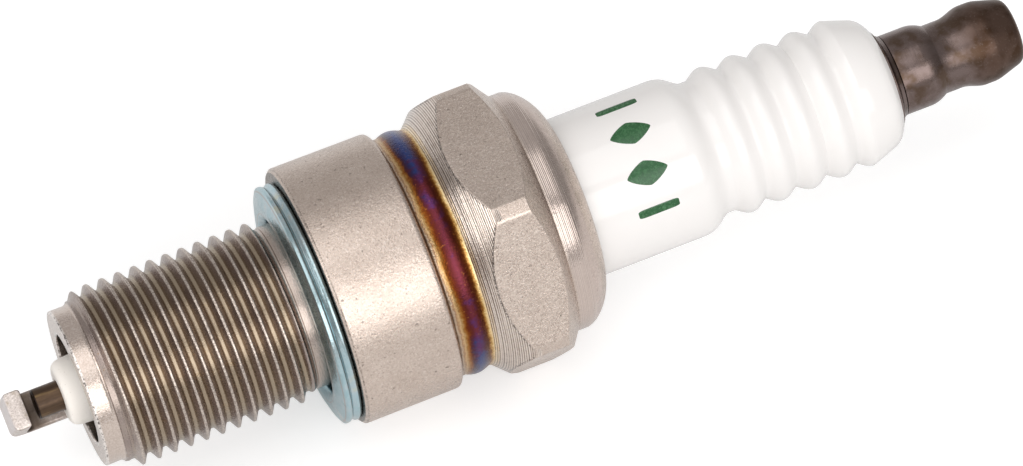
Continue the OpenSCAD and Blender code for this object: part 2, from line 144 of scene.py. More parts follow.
# %% Helper: a closed skin over a grid
def skin(name, points, crease, ring=False, start_pole=False, end_pole=False):
    """A closed mesh from a rows x columns grid of points in mm. It is smooth all over, except
    where two faces meet more sharply than crease degrees. Points that no face uses go."""
    rows, columns = points.shape[:2]
    faces = grid_faces(rows, columns, ring, start_pole, end_pole)
    used = np.unique(np.concatenate([np.ravel(face) for face in faces]))
    new = np.zeros(rows * columns, int)
    new[used] = np.arange(len(used))
    mesh = bpy.data.meshes.new(name)
    mesh.from_pydata((points.reshape(-1, 3)[used] * MM).tolist(), [],
                     [new[face].tolist() for face in faces])
    mesh.polygons.foreach_set("use_smooth", [True] * len(mesh.polygons))
    mesh.set_sharp_from_angle(angle=math.radians(crease))
    mesh.update()
    print(name, len(faces), "faces")
    return add_object(name, mesh)


# %% Helper: a surface of revolution
ON_AXIS = 1e-6


def even_angles(columns):
    """Angles of evenly spaced columns, once round the axis."""
    return np.arange(columns) * 2 * math.pi / columns


def turned(name, x, r, crease, angles, centre_z=0.0):
    """Surface of revolution: a point stands at x on the axis and at distance r from it, at
    each angle round: (x, r cos, r sin). x and r are one profile, or a grid with a column for
    each angle. A profile that starts or ends on the axis closes there, and any other closes
    on its own start."""
    x, r = np.asarray(x, float), np.asarray(r, float)
    x = x[:, None] if x.ndim == 1 else x
    r = r[:, None] if r.ndim == 1 else r
    x, r, angle = np.broadcast_arrays(x, r, angles[None, :])
    points = np.stack([x, r * np.cos(angle), r * np.sin(angle) + centre_z], axis=-1)
    poles = [bool(np.all(r[row] < ON_AXIS)) for row in (0, -1)]
    return skin(name, points, crease, not all(poles), *poles)


# %% [markdown]
# ## Profiles
# A turner works to a drawing of the section, and so do these helpers. A profile is a short
# list of corners, each with the size of its rounding. The others are soft steps, and the
# lesser of two heights with the edge between them rounded.

# %% Helpers: profiles
MOST_OF_EDGE = 0.48


def rounded(corners, steps=5):
    """A profile through (x, r, radius) corners. Each corner is cut back by its radius, or by
    most of half its edge, and bridged with a parabola: (1-t)^2 start + 2t(1-t) corner +
    t^2 end."""
    x, r = [], []
    spots = [np.array(corner[:2], float) for corner in corners]
    for i, corner in enumerate(corners):
        size = corner[2] if len(corner) > 2 else 0
        if size == 0 or i in (0, len(corners) - 1):
            x.append(spots[i][0])
            r.append(spots[i][1])
            continue
        before, after = spots[i - 1] - spots[i], spots[i + 1] - spots[i]
        start = spots[i] + before * min(MOST_OF_EDGE, size / np.linalg.norm(before))
        end = spots[i] + after * min(MOST_OF_EDGE, size / np.linalg.norm(after))
        t = np.linspace(0, 1, steps + 1)[:, None]
        bend = (1 - t) ** 2 * start + 2 * t * (1 - t) * spots[i] + t ** 2 * end
        x += bend[:, 0].tolist()
        r += bend[:, 1].tolist()
    return np.array(x), np.array(r)


def arc(centre_x, centre_r, radius, start, stop, steps=7):
    """Points at radius from a centre, from one angle to another in degrees. 0 points away
    from the axis and 90 along +x."""
    a = np.radians(np.linspace(start, stop, steps))
    return centre_x + radius * np.sin(a), centre_r + radius * np.cos(a)


def ease(t):
    """Smooth step: half a cosine wave from 0 to 1."""
    return (1 - np.cos(math.pi * np.clip(t, 0, 1))) / 2


def soft_min(softness, *values):
    """The least of the values, with the corner where two cross rounded off over about
    softness: minus softness times the logarithm of the sum of exp(-value / softness)."""
    low = np.minimum.reduce(np.broadcast_arrays(*values))
    return low - softness * np.log(sum(np.exp((low - v) / softness) for v in values))


def stack(columns, *parts):
    """Rows of several profiles under each other, as one grid. A profile is the same in every
    column."""
    parts = [np.asarray(part, float) for part in parts]
    parts = [part[:, None] if part.ndim == 1 else part for part in parts]
    return np.vstack([part * np.ones(columns) for part in parts])


# %% [markdown]
# ## Threaded shank
# The body's thread is rolled between dies. Its section is the standard one: straight
# flanks at 60 degrees, a crest an eighth of a pitch wide and a broader, rounded root. It
# could be a profile twisted by a screw modifier, but then the two ends need cutting. Here
# the radius is a function of x and the angle, so the ridge simply fades out at both ends.
# All sizes repeat the CAD model's, in mm. x runs along the axis from the face that the
# gasket seals against.

# %% Threaded shank: sizes
END_X, THREAD_X0, THREAD_X1 = -18.8, -17.3, -2.29
CREST_R, THREAD_DEPTH, PITCH, THREAD_FADE = 6.92, 0.68, 1.25, 0.8
THREAD_START = math.radians(336 - 90)
CREST_SHARE, ROOT_SHARE = 0.125, 0.25
CREST_SOFT, ROOT_SOFT = 0.025, 0.07
PILOT_R, NECK_R, NOSE_BORE_R, MIDDLE_BORE_R = 6.03, 6.35, 4.2, 5.1
print("the thread makes", round((THREAD_X1 - THREAD_X0) / PITCH, 1), "turns")


# %% Threaded shank: the thread's radius
def thread_radius(x, angle, root_r, depth, pitch, start, x0, x1, fade):
    """Root radius plus a ridge. The ridge's height falls in a straight line from the crest's
    edge to the root's, and depends on the distance from the helix
    x = x0 + pitch * turns."""
    phase = (x - x0) / pitch - (angle - start) / (2 * math.pi)
    off_crest = np.abs(phase - np.round(phase)) * 2
    flank = (1 - ROOT_SHARE - off_crest) / (1 - ROOT_SHARE - CREST_SHARE)
    ridge = soft_min(CREST_SOFT, flank, 1.0)
    ridge = -soft_min(ROOT_SOFT, -ridge, 0.0)
    return root_r + depth * ridge * ease((x - x0) / fade) * ease((x1 - x) / fade)


# %% Threaded shank
def shank(rows=420, columns=150):
    """The pilot, the thread and the neck outside, and the bore inside, as one closed ring of
    rows."""
    angles = even_angles(columns)
    x_thread = np.linspace(THREAD_X0, THREAD_X1, rows)[:, None] * np.ones(columns)
    r_thread = thread_radius(x_thread, angles, CREST_R - THREAD_DEPTH, THREAD_DEPTH, PITCH,
                             THREAD_START, THREAD_X0, THREAD_X1, THREAD_FADE)
    x_in, r_in = rounded([(END_X + 1.0, NOSE_BORE_R), (END_X, NOSE_BORE_R, 0.14),
                          (END_X, PILOT_R, 0.13), (THREAD_X0 - 0.3, PILOT_R - 0.02, 0.1),
                          (THREAD_X0 - 0.02, PILOT_R + 0.12)])
    seat_x, seat_end_x = -8.0, -7.1
    x_out, r_out = rounded([(THREAD_X1 + 0.05, NECK_R - 0.03), (0.0, NECK_R),
                            (0.01, MIDDLE_BORE_R), (seat_end_x, MIDDLE_BORE_R),
                            (seat_x, NOSE_BORE_R)])
    return turned("threaded_shank", stack(columns, x_in, x_thread, x_out),
                  stack(columns, r_in, r_thread, r_out), 55, angles)


threaded_shank = shank()

# %% [markdown]
# ## Body with its hexagon
# A hexagon on a turned part is where two shapes meet: the turned profile with its bevels,
# and six flats. At every angle the surface is the nearer of the two. Cutting it with a
# boolean would leave long thin faces, so each column of the grid puts its own rows where
# its bevels begin and end, and the curved edges stay crisp.

# %% Hexagon: sizes
HEX_X, SHOULDER_X, WAIST_R, SHOULDER_R = 10.42, 17.16, 9.25, 9.25
HEX_FLAT_R, HEX_CORNER_R, FRONT_BEVEL, BACK_BEVEL = 10.3, 11.6, 2.4, 1.7
SECTOR = math.pi / 3
CORNER_SOFT, BEVEL_SOFT = 0.012, 0.018
print("hexagon", 2 * HEX_FLAT_R, "mm across its flats")


# %% Hexagon
def hexagon_angles():
    """Angles round the axis, closer together where a flat meets a turned corner."""
    edge = math.acos(HEX_FLAT_R / HEX_CORNER_R)
    near = np.array([-0.012, -0.004, 0.004, 0.012])
    flat = np.linspace(-edge + 0.03, edge - 0.03, 27)
    corner = np.linspace(edge + 0.022, SECTOR - edge - 0.022, 5)
    sector = np.sort(np.concatenate([flat, near - edge, near + edge, corner]))
    return np.concatenate([sector + SECTOR * (side - 0.5) for side in range(6)])


def hexagon_rows(angles):
    """Rows of the hexagon: the least of front bevel, flat or corner, and back bevel. A flat
    is its distance divided by the cosine of the angle from its middle."""
    from_flat = np.abs(angles % SECTOR - SECTOR / 2)
    across = soft_min(CORNER_SOFT, HEX_FLAT_R / np.cos(from_flat), HEX_CORNER_R)
    front_slope = (HEX_CORNER_R - WAIST_R) / FRONT_BEVEL
    back_slope = (HEX_CORNER_R - SHOULDER_R) / BACK_BEVEL
    front_x = HEX_X + (across - WAIST_R) / front_slope
    back_x = SHOULDER_X - (across - SHOULDER_R) / back_slope
    near = 0.1
    marks = [HEX_X + 0 * across, front_x - near, front_x + near,
             back_x - near, back_x + near, SHOULDER_X + 0 * across]
    counts = [14, 6, 16, 6, 12]
    x = np.vstack([a + (b - a) * np.linspace(0, 1, count, endpoint=False)[:, None]
                   for a, b, count in zip(marks[:-1], marks[1:], counts)])
    front = WAIST_R + (x - HEX_X) * front_slope
    back = SHOULDER_R + (SHOULDER_X - x) * back_slope
    return x, soft_min(BEVEL_SOFT, front, across[None, :], back)


# %% [markdown]
# The rest of the body is turned: the collar that the gasket sits against, the waist with
# its bead, and the rim, which is rolled over in a press to close the plug. The rim's curve
# is a little flatter than a circle, and a superellipse follows it with one power.

# %% Body: sizes
COLLAR_R, COLLAR_END_X, COLLAR_CHAMFER = 10.0, 7.62, 0.22
BEAD_R, BEAD_X0, BEAD_X1, BEAD_POWER = 9.49, 8.36, 10.10, 0.9
RIM_X, RIM_END_X, RIM_POWER, RIM_WALL, LIP_BORE_R = 18.01, 20.36, 1.22, 1.35, 6.26
WIDE_BORE_R, WIDE_BORE_X, CONE_X = 7.8, 3.6, 0.9
print("rim rises", round(RIM_END_X - SHOULDER_X, 2), "mm over the shoulder")


# %% Body
def rim_profile():
    """The rolled rim: a quarter of a superellipse from the shoulder to the lip round the
    insulator. x follows the sine and r the cosine, both to the same power."""
    bend = np.radians(np.linspace(4, 90, 18))
    x = RIM_X + (RIM_END_X - RIM_X) * np.sin(bend) ** RIM_POWER
    r = LIP_BORE_R + (SHOULDER_R - LIP_BORE_R) * np.clip(np.cos(bend), 0, 1) ** RIM_POWER
    return np.append(SHOULDER_X, x), np.append(SHOULDER_R, r)


def body():
    """Collar, waist and bead, then the hexagon's rows, then the rim, then back down inside.
    The bead is a sine wave's half to a power."""
    angles = hexagon_angles()
    x_collar, r_collar = rounded([
        (0.02, NECK_R), (0.0, COLLAR_R - COLLAR_CHAMFER, 0.05), (COLLAR_CHAMFER, COLLAR_R, 0.08),
        (COLLAR_END_X, COLLAR_R - 0.03, 0.34),
        (COLLAR_END_X + COLLAR_CHAMFER, WAIST_R + 0.05, 0.12), (BEAD_X0, WAIST_R)])
    u = np.linspace(0, 1, 20)[1:]
    x_bead = BEAD_X0 + (BEAD_X1 - BEAD_X0) * u
    r_bead = WAIST_R + (BEAD_R - WAIST_R) * np.sin(math.pi * u) ** BEAD_POWER
    x_hex, r_hex = hexagon_rows(angles)
    x_rim, r_rim = rim_profile()
    inside_x = RIM_END_X - RIM_WALL
    x_back = [RIM_END_X, inside_x, inside_x, WIDE_BORE_X, CONE_X, 0.02]
    r_back = [LIP_BORE_R, LIP_BORE_R, WIDE_BORE_R, WIDE_BORE_R, MIDDLE_BORE_R, MIDDLE_BORE_R]
    columns = len(angles)
    return turned("hexagonal_body", stack(columns, x_collar, x_bead, x_hex, x_rim, x_back),
                  stack(columns, r_collar, r_bead, r_hex, r_rim, r_back), 28, angles)


hexagonal_body = body()

# %% [markdown]
# ## Gasket
# The gasket is folded from one strip of thin sheet, then pressed. Its section has a rolled
# inner edge, a flat band that seals, a cone down to the first lip, a groove, the second
# lip, and the slit of the fold inside. It turns loose on the neck and has dropped a little.
# A bent sheet with a Solidify modifier would cross itself in the fold, so the outside of
# the closed section is drawn instead.

# %% Gasket
GASKET_DROP, GASKET_BORE_R, GASKET_R = -0.39, 6.78, 9.27
GASKET_FRONT_X, BAND_R, BAND_END_R, LIP_R, BACK_LIP_R = -1.64, 7.6, 7.92, 0.35, 0.28


def folded_gasket():
    """Section of the folded ring, walked from the bore over the front and both lips and back
    by the slit. The inner edge is a quarter of an ellipse."""
    roll_x, slit_r = -1.073, 8.47
    a = np.radians(np.linspace(0, 90, 9))
    x_roll = roll_x + (GASKET_FRONT_X - roll_x) * np.sin(a)
    r_roll = GASKET_BORE_R + 0.7 * (1 - np.cos(a))
    x_cone, r_cone = rounded([(GASKET_FRONT_X, BAND_R), (GASKET_FRONT_X, BAND_END_R, 0.12),
                              (-1.36, 8.9, 0.3), (-1.178, 9.237, 0.1)])
    x_lip, r_lip = arc(-1.03, GASKET_R - LIP_R, LIP_R, -25, 62)
    x_back, r_back = arc(-0.30, GASKET_R - BACK_LIP_R, BACK_LIP_R, -58, 85)
    x_fold = [-0.02, -0.02, -0.22, -0.65, -0.70, -0.80, -0.85]
    r_fold = [8.7, GASKET_BORE_R + 0.2, GASKET_BORE_R, GASKET_BORE_R, slit_r, slit_r,
              GASKET_BORE_R]
    x = np.concatenate([x_roll, x_cone[1:], x_lip, [-0.68], x_back, x_fold])
    r = np.concatenate([r_roll, r_cone[1:], r_lip, [GASKET_R - 0.2], r_back, r_fold])
    return turned("folded_gasket", x, r, 40, even_angles(160), GASKET_DROP)


gasket_ring = folded_gasket()

# %% [markdown]
# ## Insulator
# One body of fired alumina: nose, seat, flange, barrel, ribs and head. It is ground to
# shape before firing, so a turned profile is the natural way to make it. The ribs are a
# wave whose crests are broader than its valleys, and the glaze softens every edge.

# %% Insulator: sizes
ELECTRODE_R, STUD_BORE_R, SEAL_X = 1.14, 2.05, -3.0
NOSE_TIP_X, NOSE_TIP_R, NOSE_ROOT_X, NOSE_ROOT_R = -20.08, 2.48, -8.43, 3.35
STEM_X, STEM_END_X, STEM_R = -6.83, 1.35, 5.0
FLANGE_X, FLANGE_END_X, FLANGE_R = 4.05, 13.0, 7.7
BARREL_R, BARREL_END_X, SLOPE_END_X = 6.12, 28.2, 31.0
RIBS_X, RIB_PITCH, RIBS, RIB_R, RIB_ROOT_R, RIB_POWER = 31.5, 2.44, 5, 5.71, 5.11, 0.65
TOP_X, TOP_R, TOP_EDGE_R = 45.42, 4.0, 4.89
print("insulator", round(TOP_X - NOSE_TIP_X, 2), "mm long")


# %% Insulator
def insulator_body():
    """Profile of the insulator from the tip of the nose to the head, and back through the
    bore. A rib is half a cosine wave to a power below one, which fattens its crest."""
    bore_r = ELECTRODE_R + 0.05
    x_nose, r_nose = rounded([
        (NOSE_TIP_X, bore_r), (NOSE_TIP_X, NOSE_TIP_R, 0.85), (NOSE_ROOT_X, NOSE_ROOT_R, 0.3),
        (STEM_X, STEM_R, 0.2), (STEM_END_X, STEM_R), (FLANGE_X, FLANGE_R, 0.2),
        (FLANGE_END_X, FLANGE_R, 0.4), (FLANGE_END_X, BARREL_R, 0.3)], steps=9)
    t = np.linspace(0, 1, 16)
    x_slope = BARREL_END_X + (SLOPE_END_X - BARREL_END_X) * t
    r_slope = BARREL_R - (BARREL_R - RIB_ROOT_R) * ease(t ** 1.8)
    turns = np.linspace(0, RIBS - 0.5, 14 * RIBS)
    wave = (1 - np.cos(2 * math.pi * turns)) / 2
    x_ribs = RIBS_X + RIB_PITCH * turns
    r_ribs = RIB_ROOT_R + (RIB_R - RIB_ROOT_R) * wave ** RIB_POWER
    x_head, r_head = rounded([
        (x_ribs[-1], RIB_R), (TOP_X - 0.57, TOP_EDGE_R, 0.5), (TOP_X, TOP_R, 0.2),
        (TOP_X, STUD_BORE_R, 0.1), (SEAL_X, STUD_BORE_R), (SEAL_X, bore_r),
        (NOSE_TIP_X + 0.01, bore_r)], steps=7)
    x = np.concatenate([x_nose, x_slope, x_ribs, x_head[1:]])
    r = np.concatenate([r_nose, r_slope, r_ribs, r_head[1:]])
    return turned("glazed_insulator", x, r, 50, even_angles(144))


glazed_insulator = insulator_body()

# %% [markdown]
# ## Printed marks
# The barrel carries a short row of green marks, printed on the glaze and fired in. Real
# plugs have print here; these four marks are plain shapes that say nothing. They could be
# a pattern in the glaze's material. Each is its own thin patch of ink that follows the
# barrel instead, so its edges stay sharp at any distance.

# %% Printed marks
MARK_X, INK = 25.35, 0.012
BAR = (1.6, 0.34, 7)
DIAMOND = (1.6, 0.95, 1.3)


def mark(name, angle, half_length, half_width, power):
    """A patch bounded by |u|^power + |v|^power = 1, u along the plug and v round it, laid on
    the barrel. Its rows go from the middle of the top to the edge, and back beneath."""
    a = np.linspace(0, 2 * math.pi, 49)[:-1]
    edge = (np.abs(np.cos(a)) ** power + np.abs(np.sin(a)) ** power) ** (-1 / power)
    size = np.array([0, 0.5, 0.93, 1.0, 0.93, 0.5, 0])[:, None]
    lift = np.array([INK, INK, INK, 0.0, -INK, -INK, -INK])[:, None]
    u = half_length * size * edge * np.cos(a)
    v = half_width * size * edge * np.sin(a)
    r = BARREL_R + lift + 0 * u
    turn_to = angle + v / BARREL_R
    points = np.stack([MARK_X + u, r * np.cos(turn_to), r * np.sin(turn_to)], axis=-1)
    return skin(name, points, 60, False, True, True)


FACING = math.pi - TILT
printed_marks = [mark("printed_bar_1", FACING + math.radians(-56), *BAR),
                 mark("printed_diamond_1", FACING + math.radians(-29), *DIAMOND),
                 mark("printed_diamond_2", FACING + math.radians(2), *DIAMOND),
                 mark("printed_bar_2", FACING + math.radians(29), *BAR)]

# %% [markdown]
# ## Centre electrode
# A nickel-alloy wire with a copper heart, and a head that the glass seal holds. A cylinder
# would do for what shows, but the whole pin is turned here, so that its place is plain.

# %% Centre electrode
TIP_X, PIN_END_X, PIN_HEAD_END_X, PIN_HEAD_R = -22.1, -2.98, -1.18, 2.0
x_pin, r_pin = rounded([(TIP_X, 0), (TIP_X, ELECTRODE_R, 0.14), (PIN_END_X, ELECTRODE_R),
                        (PIN_END_X, PIN_HEAD_R), (PIN_HEAD_END_X, PIN_HEAD_R),
                        (PIN_HEAD_END_X, 0)])
centre_pin = turned("centre_pin", x_pin, r_pin, 40, even_angles(96))

# %% [markdown]
# ## Ground electrode
# A flat wire is welded to the body's end face, bent over the pin and cut off. Drawing
# rounds its long edges, and cutting leaves a flat end with a burr. It could be a box with
# bevels, but the bend would stretch them. A rounded rectangle is carried along a path with
# one bend instead, and shrinks in its last rows to close the cut end.

# %% Ground electrode: path and section
GAP, STRAP_T, STRAP_W, STRAP_OVER, STRAP_BEND = 0.8, 1.3, 2.9, 1.2, 0.7
STRAP_TURN = math.radians(30.3)


def strap_path():
    """Middle of the wire in its own plane, as (x, distance below the axis): down the leg,
    round a quarter of a circle, along the foot."""
    leg_r = (PILOT_R + NOSE_BORE_R) / 2
    bend_r = STRAP_T / 2 + STRAP_BEND
    foot_x = TIP_X - GAP - STRAP_T / 2
    corner_x, corner_r = foot_x + bend_r, leg_r - bend_r
    a = np.linspace(0, math.pi / 2, 16)[1:]
    leg = np.stack([np.linspace(END_X, corner_x, 12), np.full(12, leg_r)], axis=1)
    bend = np.stack([corner_x - bend_r * np.sin(a), corner_r + bend_r * np.cos(a)], axis=1)
    foot = np.stack([np.full(14, foot_x), np.linspace(corner_r, -STRAP_OVER, 15)[1:]], axis=1)
    return np.vstack([leg, bend, foot])


def strap_section():
    """Outline of the wire: a rectangle whose four corners are quarter circles, each of its
    own size."""
    corners = [(1, 1, 0.24), (1, -1, 0.45), (-1, -1, 0.2), (-1, 1, 0.24)]
    thick, width = [], []
    for (side, edge, size), start in zip(corners, (90, 0, -90, -180)):
        a = np.radians(np.linspace(start, start - 90, 8))
        thick += (side * (STRAP_T / 2 - size) + size * np.cos(a)).tolist()
        width += (edge * (STRAP_W / 2 - size) + size * np.sin(a)).tolist()
    return np.array(thick)[::-1], np.array(width)[::-1]


# %% Ground electrode
def strap():
    """Every row is the section set square to the path: path + outward * thickness, with the
    width to the side. The closing rows shrink towards its middle."""
    path = strap_path()
    tangent = np.gradient(path, axis=0)
    tangent /= np.linalg.norm(tangent, axis=1)[:, None]
    outward = np.stack([tangent[:, 1], -tangent[:, 0]], axis=1)
    close, shrink = np.array([0.03, 0.055, 0.07, 0.07]), [0.985, 0.955, 0.9, 0]
    path = np.vstack([path[:1], path, path[-1] + tangent[-1] * close[:, None]])
    outward = np.vstack([outward[:1], outward, np.repeat(outward[-1:], len(close), axis=0)])
    scale = np.concatenate([[0], np.ones(len(path) - len(close) - 1), shrink])[:, None]
    thick, width = strap_section()
    x = path[:, :1] + outward[:, :1] * thick * scale
    below = path[:, 1:] + outward[:, 1:] * thick * scale
    aside = width * scale
    points = np.stack([x, below * math.sin(STRAP_TURN) + aside * math.cos(STRAP_TURN),
                       -below * math.cos(STRAP_TURN) + aside * math.sin(STRAP_TURN)], axis=-1)
    return skin("bent_strap", points, 40, False, True, True)


bent_strap = strap()

# %% [markdown]
# ## Terminal stud
# The stud runs down inside the insulator. Above it, a thin collar rests on the head, and a
# threaded post carries the nut. A bought screw could be scaled to fit, but the thread
# function is there already, and serves again at a smaller size.

# %% Terminal stud: sizes
STUD_X, STUD_R, STUD_FOOT_X, STUD_FOOT_R = 45.44, 1.8, 3.6, 1.55
STUD_COLLAR_R, STUD_COLLAR_T, NUT_BASE_R = 3.72, 0.66, 3.11
POST_THREAD_R, POST_THREAD_DEPTH, POST_PITCH, POST_FADE = 1.95, 0.36, 0.7, 0.5
POST_END_X = 53.12


# %% Terminal stud
def stud(rows=170, columns=72):
    """Foot, shaft, collar and threaded post, closed on the axis at both ends."""
    angles = even_angles(columns)
    root = POST_THREAD_R - POST_THREAD_DEPTH
    neck = root - 0.06
    collar_end = STUD_X + STUD_COLLAR_T
    x0, x1 = collar_end + 0.7, POST_END_X - 0.5
    x_low, r_low = rounded([
        (STUD_FOOT_X, 0), (STUD_FOOT_X, STUD_FOOT_R), (7.2, STUD_FOOT_R), (7.5, STUD_R),
        (STUD_X, STUD_R), (STUD_X, STUD_COLLAR_R, 0.08), (STUD_X + 0.14, STUD_COLLAR_R, 0.06),
        (STUD_X + 0.32, NUT_BASE_R + 0.22, 0.1), (collar_end, NUT_BASE_R, 0.05),
        (collar_end, neck, 0.1), (x0 - 0.02, neck)])
    x_thread = np.linspace(x0, x1, rows)[:, None] * np.ones(columns)
    r_thread = thread_radius(x_thread, angles, root, POST_THREAD_DEPTH, POST_PITCH, 0.0,
                             x0, x1, POST_FADE)
    x_end, r_end = rounded([(x1 + 0.02, neck), (POST_END_X, neck, 0.25), (POST_END_X, 0)])
    return turned("stud_and_collar", stack(columns, x_low, x_thread, x_end),
                  stack(columns, r_low, r_thread, r_end), 40, angles)


stud_and_collar = stud()

# %% [markdown]
# ## Terminal nut
# The nut is turned from bar: a base, a shoulder that curves in to a waist, a flare and a
# bulging head that a cap's clip snaps over. Its profile is short enough to write down.

# %% Terminal nut
NUT_X, NUT_END_X, NUT_BORE_R, NUT_WAIST_R, NUT_HEAD_R = 46.12, 55.92, 2.0, 2.68, 3.11
BASE_END_X, NUT_WAIST_X0, NUT_WAIST_X1, HEAD_X, HEAD_END_X = 48.12, 49.47, 50.72, 52.62, 53.57


def cap_nut():
    """Outside from the base to the domed end, then the blind bore, closed on the axis at both
    ends. The shoulder is a parabola and the flare half a cosine wave."""
    bore_end_x = POST_END_X + 0.4
    t = np.linspace(0, 1, 16)
    x_bore, r_bore = rounded([(bore_end_x, 0), (bore_end_x, NUT_BORE_R),
                              (NUT_X, NUT_BORE_R, 0.15), (NUT_X, NUT_BASE_R, 0.1),
                              (BASE_END_X, NUT_BASE_R)])
    x_shoulder = BASE_END_X + (NUT_WAIST_X0 - BASE_END_X) * t[1:]
    r_shoulder = NUT_BASE_R - (NUT_BASE_R - NUT_WAIST_R) * t[1:] ** 2
    x_flare = NUT_WAIST_X1 + (HEAD_X - NUT_WAIST_X1) * t
    r_flare = NUT_WAIST_R + (NUT_HEAD_R - NUT_WAIST_R) * ease(t)
    x_head, r_head = rounded([(HEAD_X + 0.02, NUT_HEAD_R), (HEAD_END_X, NUT_HEAD_R, 0.35),
                              (NUT_END_X - 0.3, NUT_HEAD_R - 0.6, 0.4),
                              (NUT_END_X, NUT_HEAD_R - 1, 0.3), (NUT_END_X, 0)], steps=7)
    x = np.concatenate([x_bore, x_shoulder, x_flare, x_head])
    r = np.concatenate([r_bore, r_shoulder, r_flare, r_head])
    return turned("turned_nut", x, r, 45, even_angles(128))


turned_nut = cap_nut()

# %% [markdown]
# ## Materials
# Every finish is procedural. Patterns read Object coordinates, so they stay on the piece
# when it moves. A small class keeps the node graphs short: each of its calls adds one
# node, links what it is given and returns the new node's result.

# %% Helper: a tree of nodes
class Nodes:
    """Short calls that add linked nodes to a tree. Sizes of patterns are given in mm."""

    def __init__(self, tree, coordinates):
        self.tree = tree
        self.place = self.add("ShaderNodeTexCoord").outputs[coordinates]

    def add(self, kind, **settings):
        node = self.tree.nodes.new(kind)
        for key, value in settings.items():
            setattr(node, key, value)
        return node

    def link(self, source, socket):
        """Feeds a socket from another node, a number or a colour. In the socket of a colour a
        number stands for a grey."""
        if isinstance(source, bpy.types.NodeSocket):
            self.tree.links.new(source, socket)
        elif socket.type == "RGBA":
            socket.default_value = (*(source if isinstance(source, tuple) else [source] * 3), 1)
        else:
            socket.default_value = source

    def math(self, operation, a, b=0.0):
        node = self.add("ShaderNodeMath", operation=operation)
        self.link(a, node.inputs[0])
        self.link(b, node.inputs[1])
        return node.outputs[0]

    def total(self, first, *others):
        """Sum of values."""
        for other in others:
            first = self.math("ADD", first, other)
        return first

    def product(self, first, *others):
        """Product of values."""
        for other in others:
            first = self.math("MULTIPLY", first, other)
        return first

    def split(self, vector):
        """The three parts of a vector."""
        node = self.add("ShaderNodeSeparateXYZ")
        self.link(vector, node.inputs[0])
        return list(node.outputs)

    def tell(self, step):
        """Says how far the tree has grown."""
        print(f"{step}: {len(self.tree.nodes)} nodes")

    def fraction(self, value, low, high, kind="LINEAR", start=0.0, stop=1.0):
        """start at low, stop at high, and in between by the kind of interpolation."""
        node = self.add("ShaderNodeMapRange", interpolation_type=kind)
        self.link(value, node.inputs["Value"])
        for name, number in (("From Min", low), ("From Max", high),
                             ("To Min", start), ("To Max", stop)):
            node.inputs[name].default_value = number
        return node.outputs[0]

    def between(self, value, low, high, soft):
        """1 between low and high, with edges that fade over soft to both sides."""
        return self.product(self.fraction(value, low - soft, low + soft, "SMOOTHSTEP"),
                            self.fraction(value, high + soft, high - soft, "SMOOTHSTEP"))

    def blend(self, factor, a, b, kind="MIX"):
        """a where the factor is 0, b where it is 1."""
        node = self.add("ShaderNodeMix", data_type="RGBA", blend_type=kind)
        for source, socket in ((factor, 0), (a, 6), (b, 7)):
            self.link(source, node.inputs[socket])
        return node.outputs[2]

    def ramp(self, value, *stops):
        """A colour ramp through (place, colour or grey) stops."""
        node = self.add("ShaderNodeValToRGB")
        elements = node.color_ramp.elements
        while len(elements) < len(stops):
            elements.new(0.5)
        for element, (spot, colour) in zip(elements, stops):
            element.position = spot
            element.color = (*(colour if isinstance(colour, tuple) else [colour] * 3), 1)
        self.link(value, node.inputs[0])
        return node.outputs[0]

    def steps(self, value, low, high, *stops):
        """A ramp whose stops are given between low and high instead of between 0 and 1."""
        return self.ramp(self.fraction(value, low, high),
                         *[((spot - low) / (high - low), colour) for spot, colour in stops])

    def above(self, value, low, high, most=1.0):
        """0 where value is below low, most where it is above high."""
        return self.ramp(value, (low, 0.0), (high, most))

    def below(self, value, low, high, most=1.0):
        """most where value is below low, 0 where it is above high."""
        return self.ramp(value, (low, most), (high, 0.0))

    def spread(self, pattern, a, b):
        """From a to b over the values that a noise mostly has, 0.3 to 0.7."""
        return self.ramp(pattern, (0.3, a), (0.7, b))


# %% [markdown]
# A finish is a tree of nodes in a material. Colours are laid over each other as a painter
# does, each through a mask, and bumps are added on top of each other in the same way.

